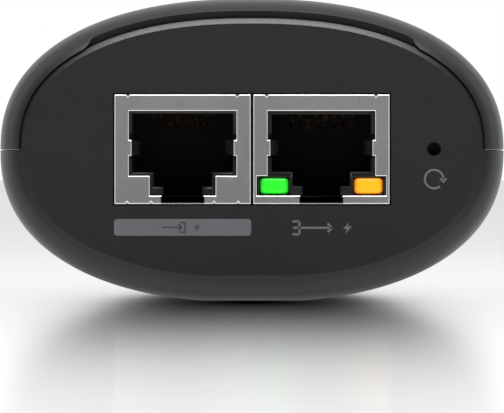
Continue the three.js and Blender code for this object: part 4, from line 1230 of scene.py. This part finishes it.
# %% Chip parts
CHIP = np.array([1.6, 0.8, 0.5])
END = 0.3
ALONG_X = (2.1, 0)
rows = [((-22, -25.0), ALONG_X, 17), ((-14, -22.8), ALONG_X, 4), ((-21, 31.2), ALONG_X, 21),
        ((-21, 33.0), ALONG_X, 8), ((-21, 44.2), ALONG_X, 14), ((5.6, 47), (0, 1.7), 9),
        ((-17.5, 48), (0, 1.9), 8), ((12.5, -17), (0, 1.5), 5), ((-12.4, -19.4), (0, 1.5), 5)]
starts = np.concatenate([np.array(start) + np.arange(count)[:, None] * step for start, step, count in rows])
along_y = np.concatenate([np.full(count, step[0] > 0) for _, step, count in rows])
is_resistor = RNG.random(len(starts)) < 0.55
place = np.stack([starts[:, 0], starts[:, 1], np.full(len(starts), BOARD_TOP)], -1)
size = np.where(along_y[:, None], CHIP[[1, 0, 2]], CHIP)
inner = size - np.where(along_y[:, None], (0.06, 2 * END, 0.05), (2 * END, 0.06, 0.05))
body_low, body_high = place - inner * (0.5, 0.5, 0), place + inner * (0.5, 0.5, 1)
end_size = np.where(along_y[:, None], (CHIP[1], END, CHIP[2]), (END, CHIP[1], CHIP[2]))
reach = np.where(along_y[:, None], (0, CHIP[0] / 2 - END / 2, 0), (CHIP[0] / 2 - END / 2, 0, 0))
ends_low = np.concatenate([place + way * reach - end_size * (0.5, 0.5, 0) for way in (-1, 1)])
ends_high = np.concatenate([place + way * reach + end_size * (0.5, 0.5, 1) for way in (-1, 1)])
CERAMIC = Finish(
    "chip_ceramic", (0.26, 0.17, 0.09), (0.34, 0.23, 0.13), (0.4, 0.55), 0.3, 0.01, slot="bobbin_moulding"
)
chips = {
    "chip_resistors": (body_low[is_resistor], body_high[is_resistor], EPOXY),
    "chip_capacitors": (body_low[~is_resistor], body_high[~is_resistor], CERAMIC),
    "chip_ends": (ends_low, ends_high, SOLDER),
}
for name, (lows, highs, look) in chips.items():
    add_piece(name, [blocks(lows, highs)], look, "main_board", replaces=False)

# %% [markdown]
# ## Floor, light and camera
# The object stands on a pale polished floor against white. The studio is bright behind and above and dimmer
# in front, which is what keeps a black face dark while its edges shine. A long overhead softbox draws the
# line of light on the chamfer over the slot. The camera looks straight along the seam through a long lens.

# %% Floor
FLOOR_SIZE = 6000
floor_mesh = mesh_from("floor", [grid(np.array([[[x * FLOOR_SIZE, y * FLOOR_SIZE, 0] for x in (-1, 1)]
                                                for y in (-1, 1)], float))])
floor = linked("floor", floor_mesh)
FLOOR = Finish("floor_white", grey(0.42), grey(0.44), (0.5, 0.6), 400, 0.0)
FLOOR.shader.inputs["Specular IOR Level"].default_value = 0.0
FLOOR.shader.inputs["Emission Color"].default_value = (1, 1, 1, 1)
FLOOR.shader.inputs["Emission Strength"].default_value = 0.46
polish = FLOOR.node("ShaderNodeBsdfGlossy")
polish.inputs["Roughness"].default_value = 0.075
slant = FLOOR.node("ShaderNodeLayerWeight")
slant.inputs["Blend"].default_value = 0.5
grazing = FLOOR.span(slant.outputs["Facing"], 0.03, 1.0, 0.5, 0.97)
POLISH_REACH = 0.53  # metres in front of the case over which the polish fades
# A painted shadow: close to the case the polish's colour is darkened, most under its middle, fading to the
# sides and away from the port face.
SHADOW_HALF_WIDTH = 14 * MM
SHADOW_DEPTH, SHADOW_FADE = 1.3, 6.2
ahead = FLOOR.math("DIVIDE", FLOOR.math("SUBTRACT", CASE_FRONT * MM, FLOOR.axes()[1]), POLISH_REACH)
fade = FLOOR.bell(ahead)
shadow_across = FLOOR.bell(FLOOR.math("DIVIDE", FLOOR.axes()[0], SHADOW_HALF_WIDTH))
shadow_near = FLOOR.math("EXPONENT", FLOOR.math("MULTIPLY", FLOOR.math("ABSOLUTE", ahead), -SHADOW_FADE))
shadow_near = FLOOR.math("MINIMUM", FLOOR.math("MULTIPLY", shadow_near, SHADOW_DEPTH), 1.0)
FLOOR.link(FLOOR.math("SUBTRACT", 1.0, FLOOR.math("MULTIPLY", shadow_across, shadow_near)), polish.inputs["Color"])
blend = FLOOR.node("ShaderNodeMixShader")
FLOOR.link(FLOOR.math("MULTIPLY", grazing, fade), blend.inputs[0])
FLOOR.link(FLOOR.shader.outputs[0], blend.inputs[1])
FLOOR.link(polish.outputs[0], blend.inputs[2])
FLOOR.link(blend.outputs[0], FLOOR.tree.nodes["Material Output"].inputs["Surface"])
floor.data.materials.append(FLOOR.material)

# %% Light
world = bpy.data.worlds.new("studio")
bpy.context.scene.world = world
world.use_nodes = True
nodes, links = world.node_tree.nodes, world.node_tree.links
background = nodes["Background"]
toward = nodes.new("ShaderNodeSeparateXYZ")
links.new(nodes.new("ShaderNodeTexCoord").outputs["Generated"], toward.inputs[0])
depth = nodes.new("ShaderNodeMapRange")
depth.interpolation_type = "SMOOTHSTEP"
for key, value in zip(("From Min", "From Max", "To Min", "To Max"), (-0.72, 0.2, 0.10, 1.0)):
    depth.inputs[key].default_value = value
links.new(toward.outputs["Y"], depth.inputs["Value"])
seen = nodes.new("ShaderNodeLightPath")
strength = nodes.new("ShaderNodeMix")
links.new(seen.outputs["Is Camera Ray"], strength.inputs["Factor"])
links.new(depth.outputs["Result"], strength.inputs["A"])
strength.inputs["B"].default_value = 1.0
links.new(strength.outputs["Result"], background.inputs["Strength"])
background.inputs["Color"].default_value = (1, 1, 1, 1)

lamp = bpy.data.lights.new("softbox_overhead", "AREA")
lamp.shape = "RECTANGLE"
lamp.size, lamp.size_y = 0.7, 0.34
lamp.energy = 8
softbox = linked("softbox_overhead", lamp)
softbox.location = (0, -0.52, 0.8)
aim = Vector((0, -0.07, 0.03)) - softbox.location
softbox.rotation_euler = aim.to_track_quat("-Z", "Y").to_euler()

# %% Camera
DISTANCE = 1.5
WIDTH_SEEN = 60.1
LENS_DROP = 1 / 9  # the frame's middle lies this share of its width under the lens's axis
camera = linked("camera", bpy.data.cameras.new("camera"))
camera.location = (0, CASE_FRONT * MM - DISTANCE, SEAM * MM)
camera.rotation_euler = (np.pi / 2, 0, 0)
camera.data.lens = camera.data.sensor_width * (DISTANCE + EDGE_RUN * MM) / (WIDTH_SEEN * MM)
camera.data.shift_y = -LENS_DROP
camera.data.clip_start, camera.data.clip_end = 0.05, 50
bpy.context.scene.camera = camera
bpy.context.scene.view_settings.view_transform = "Standard"
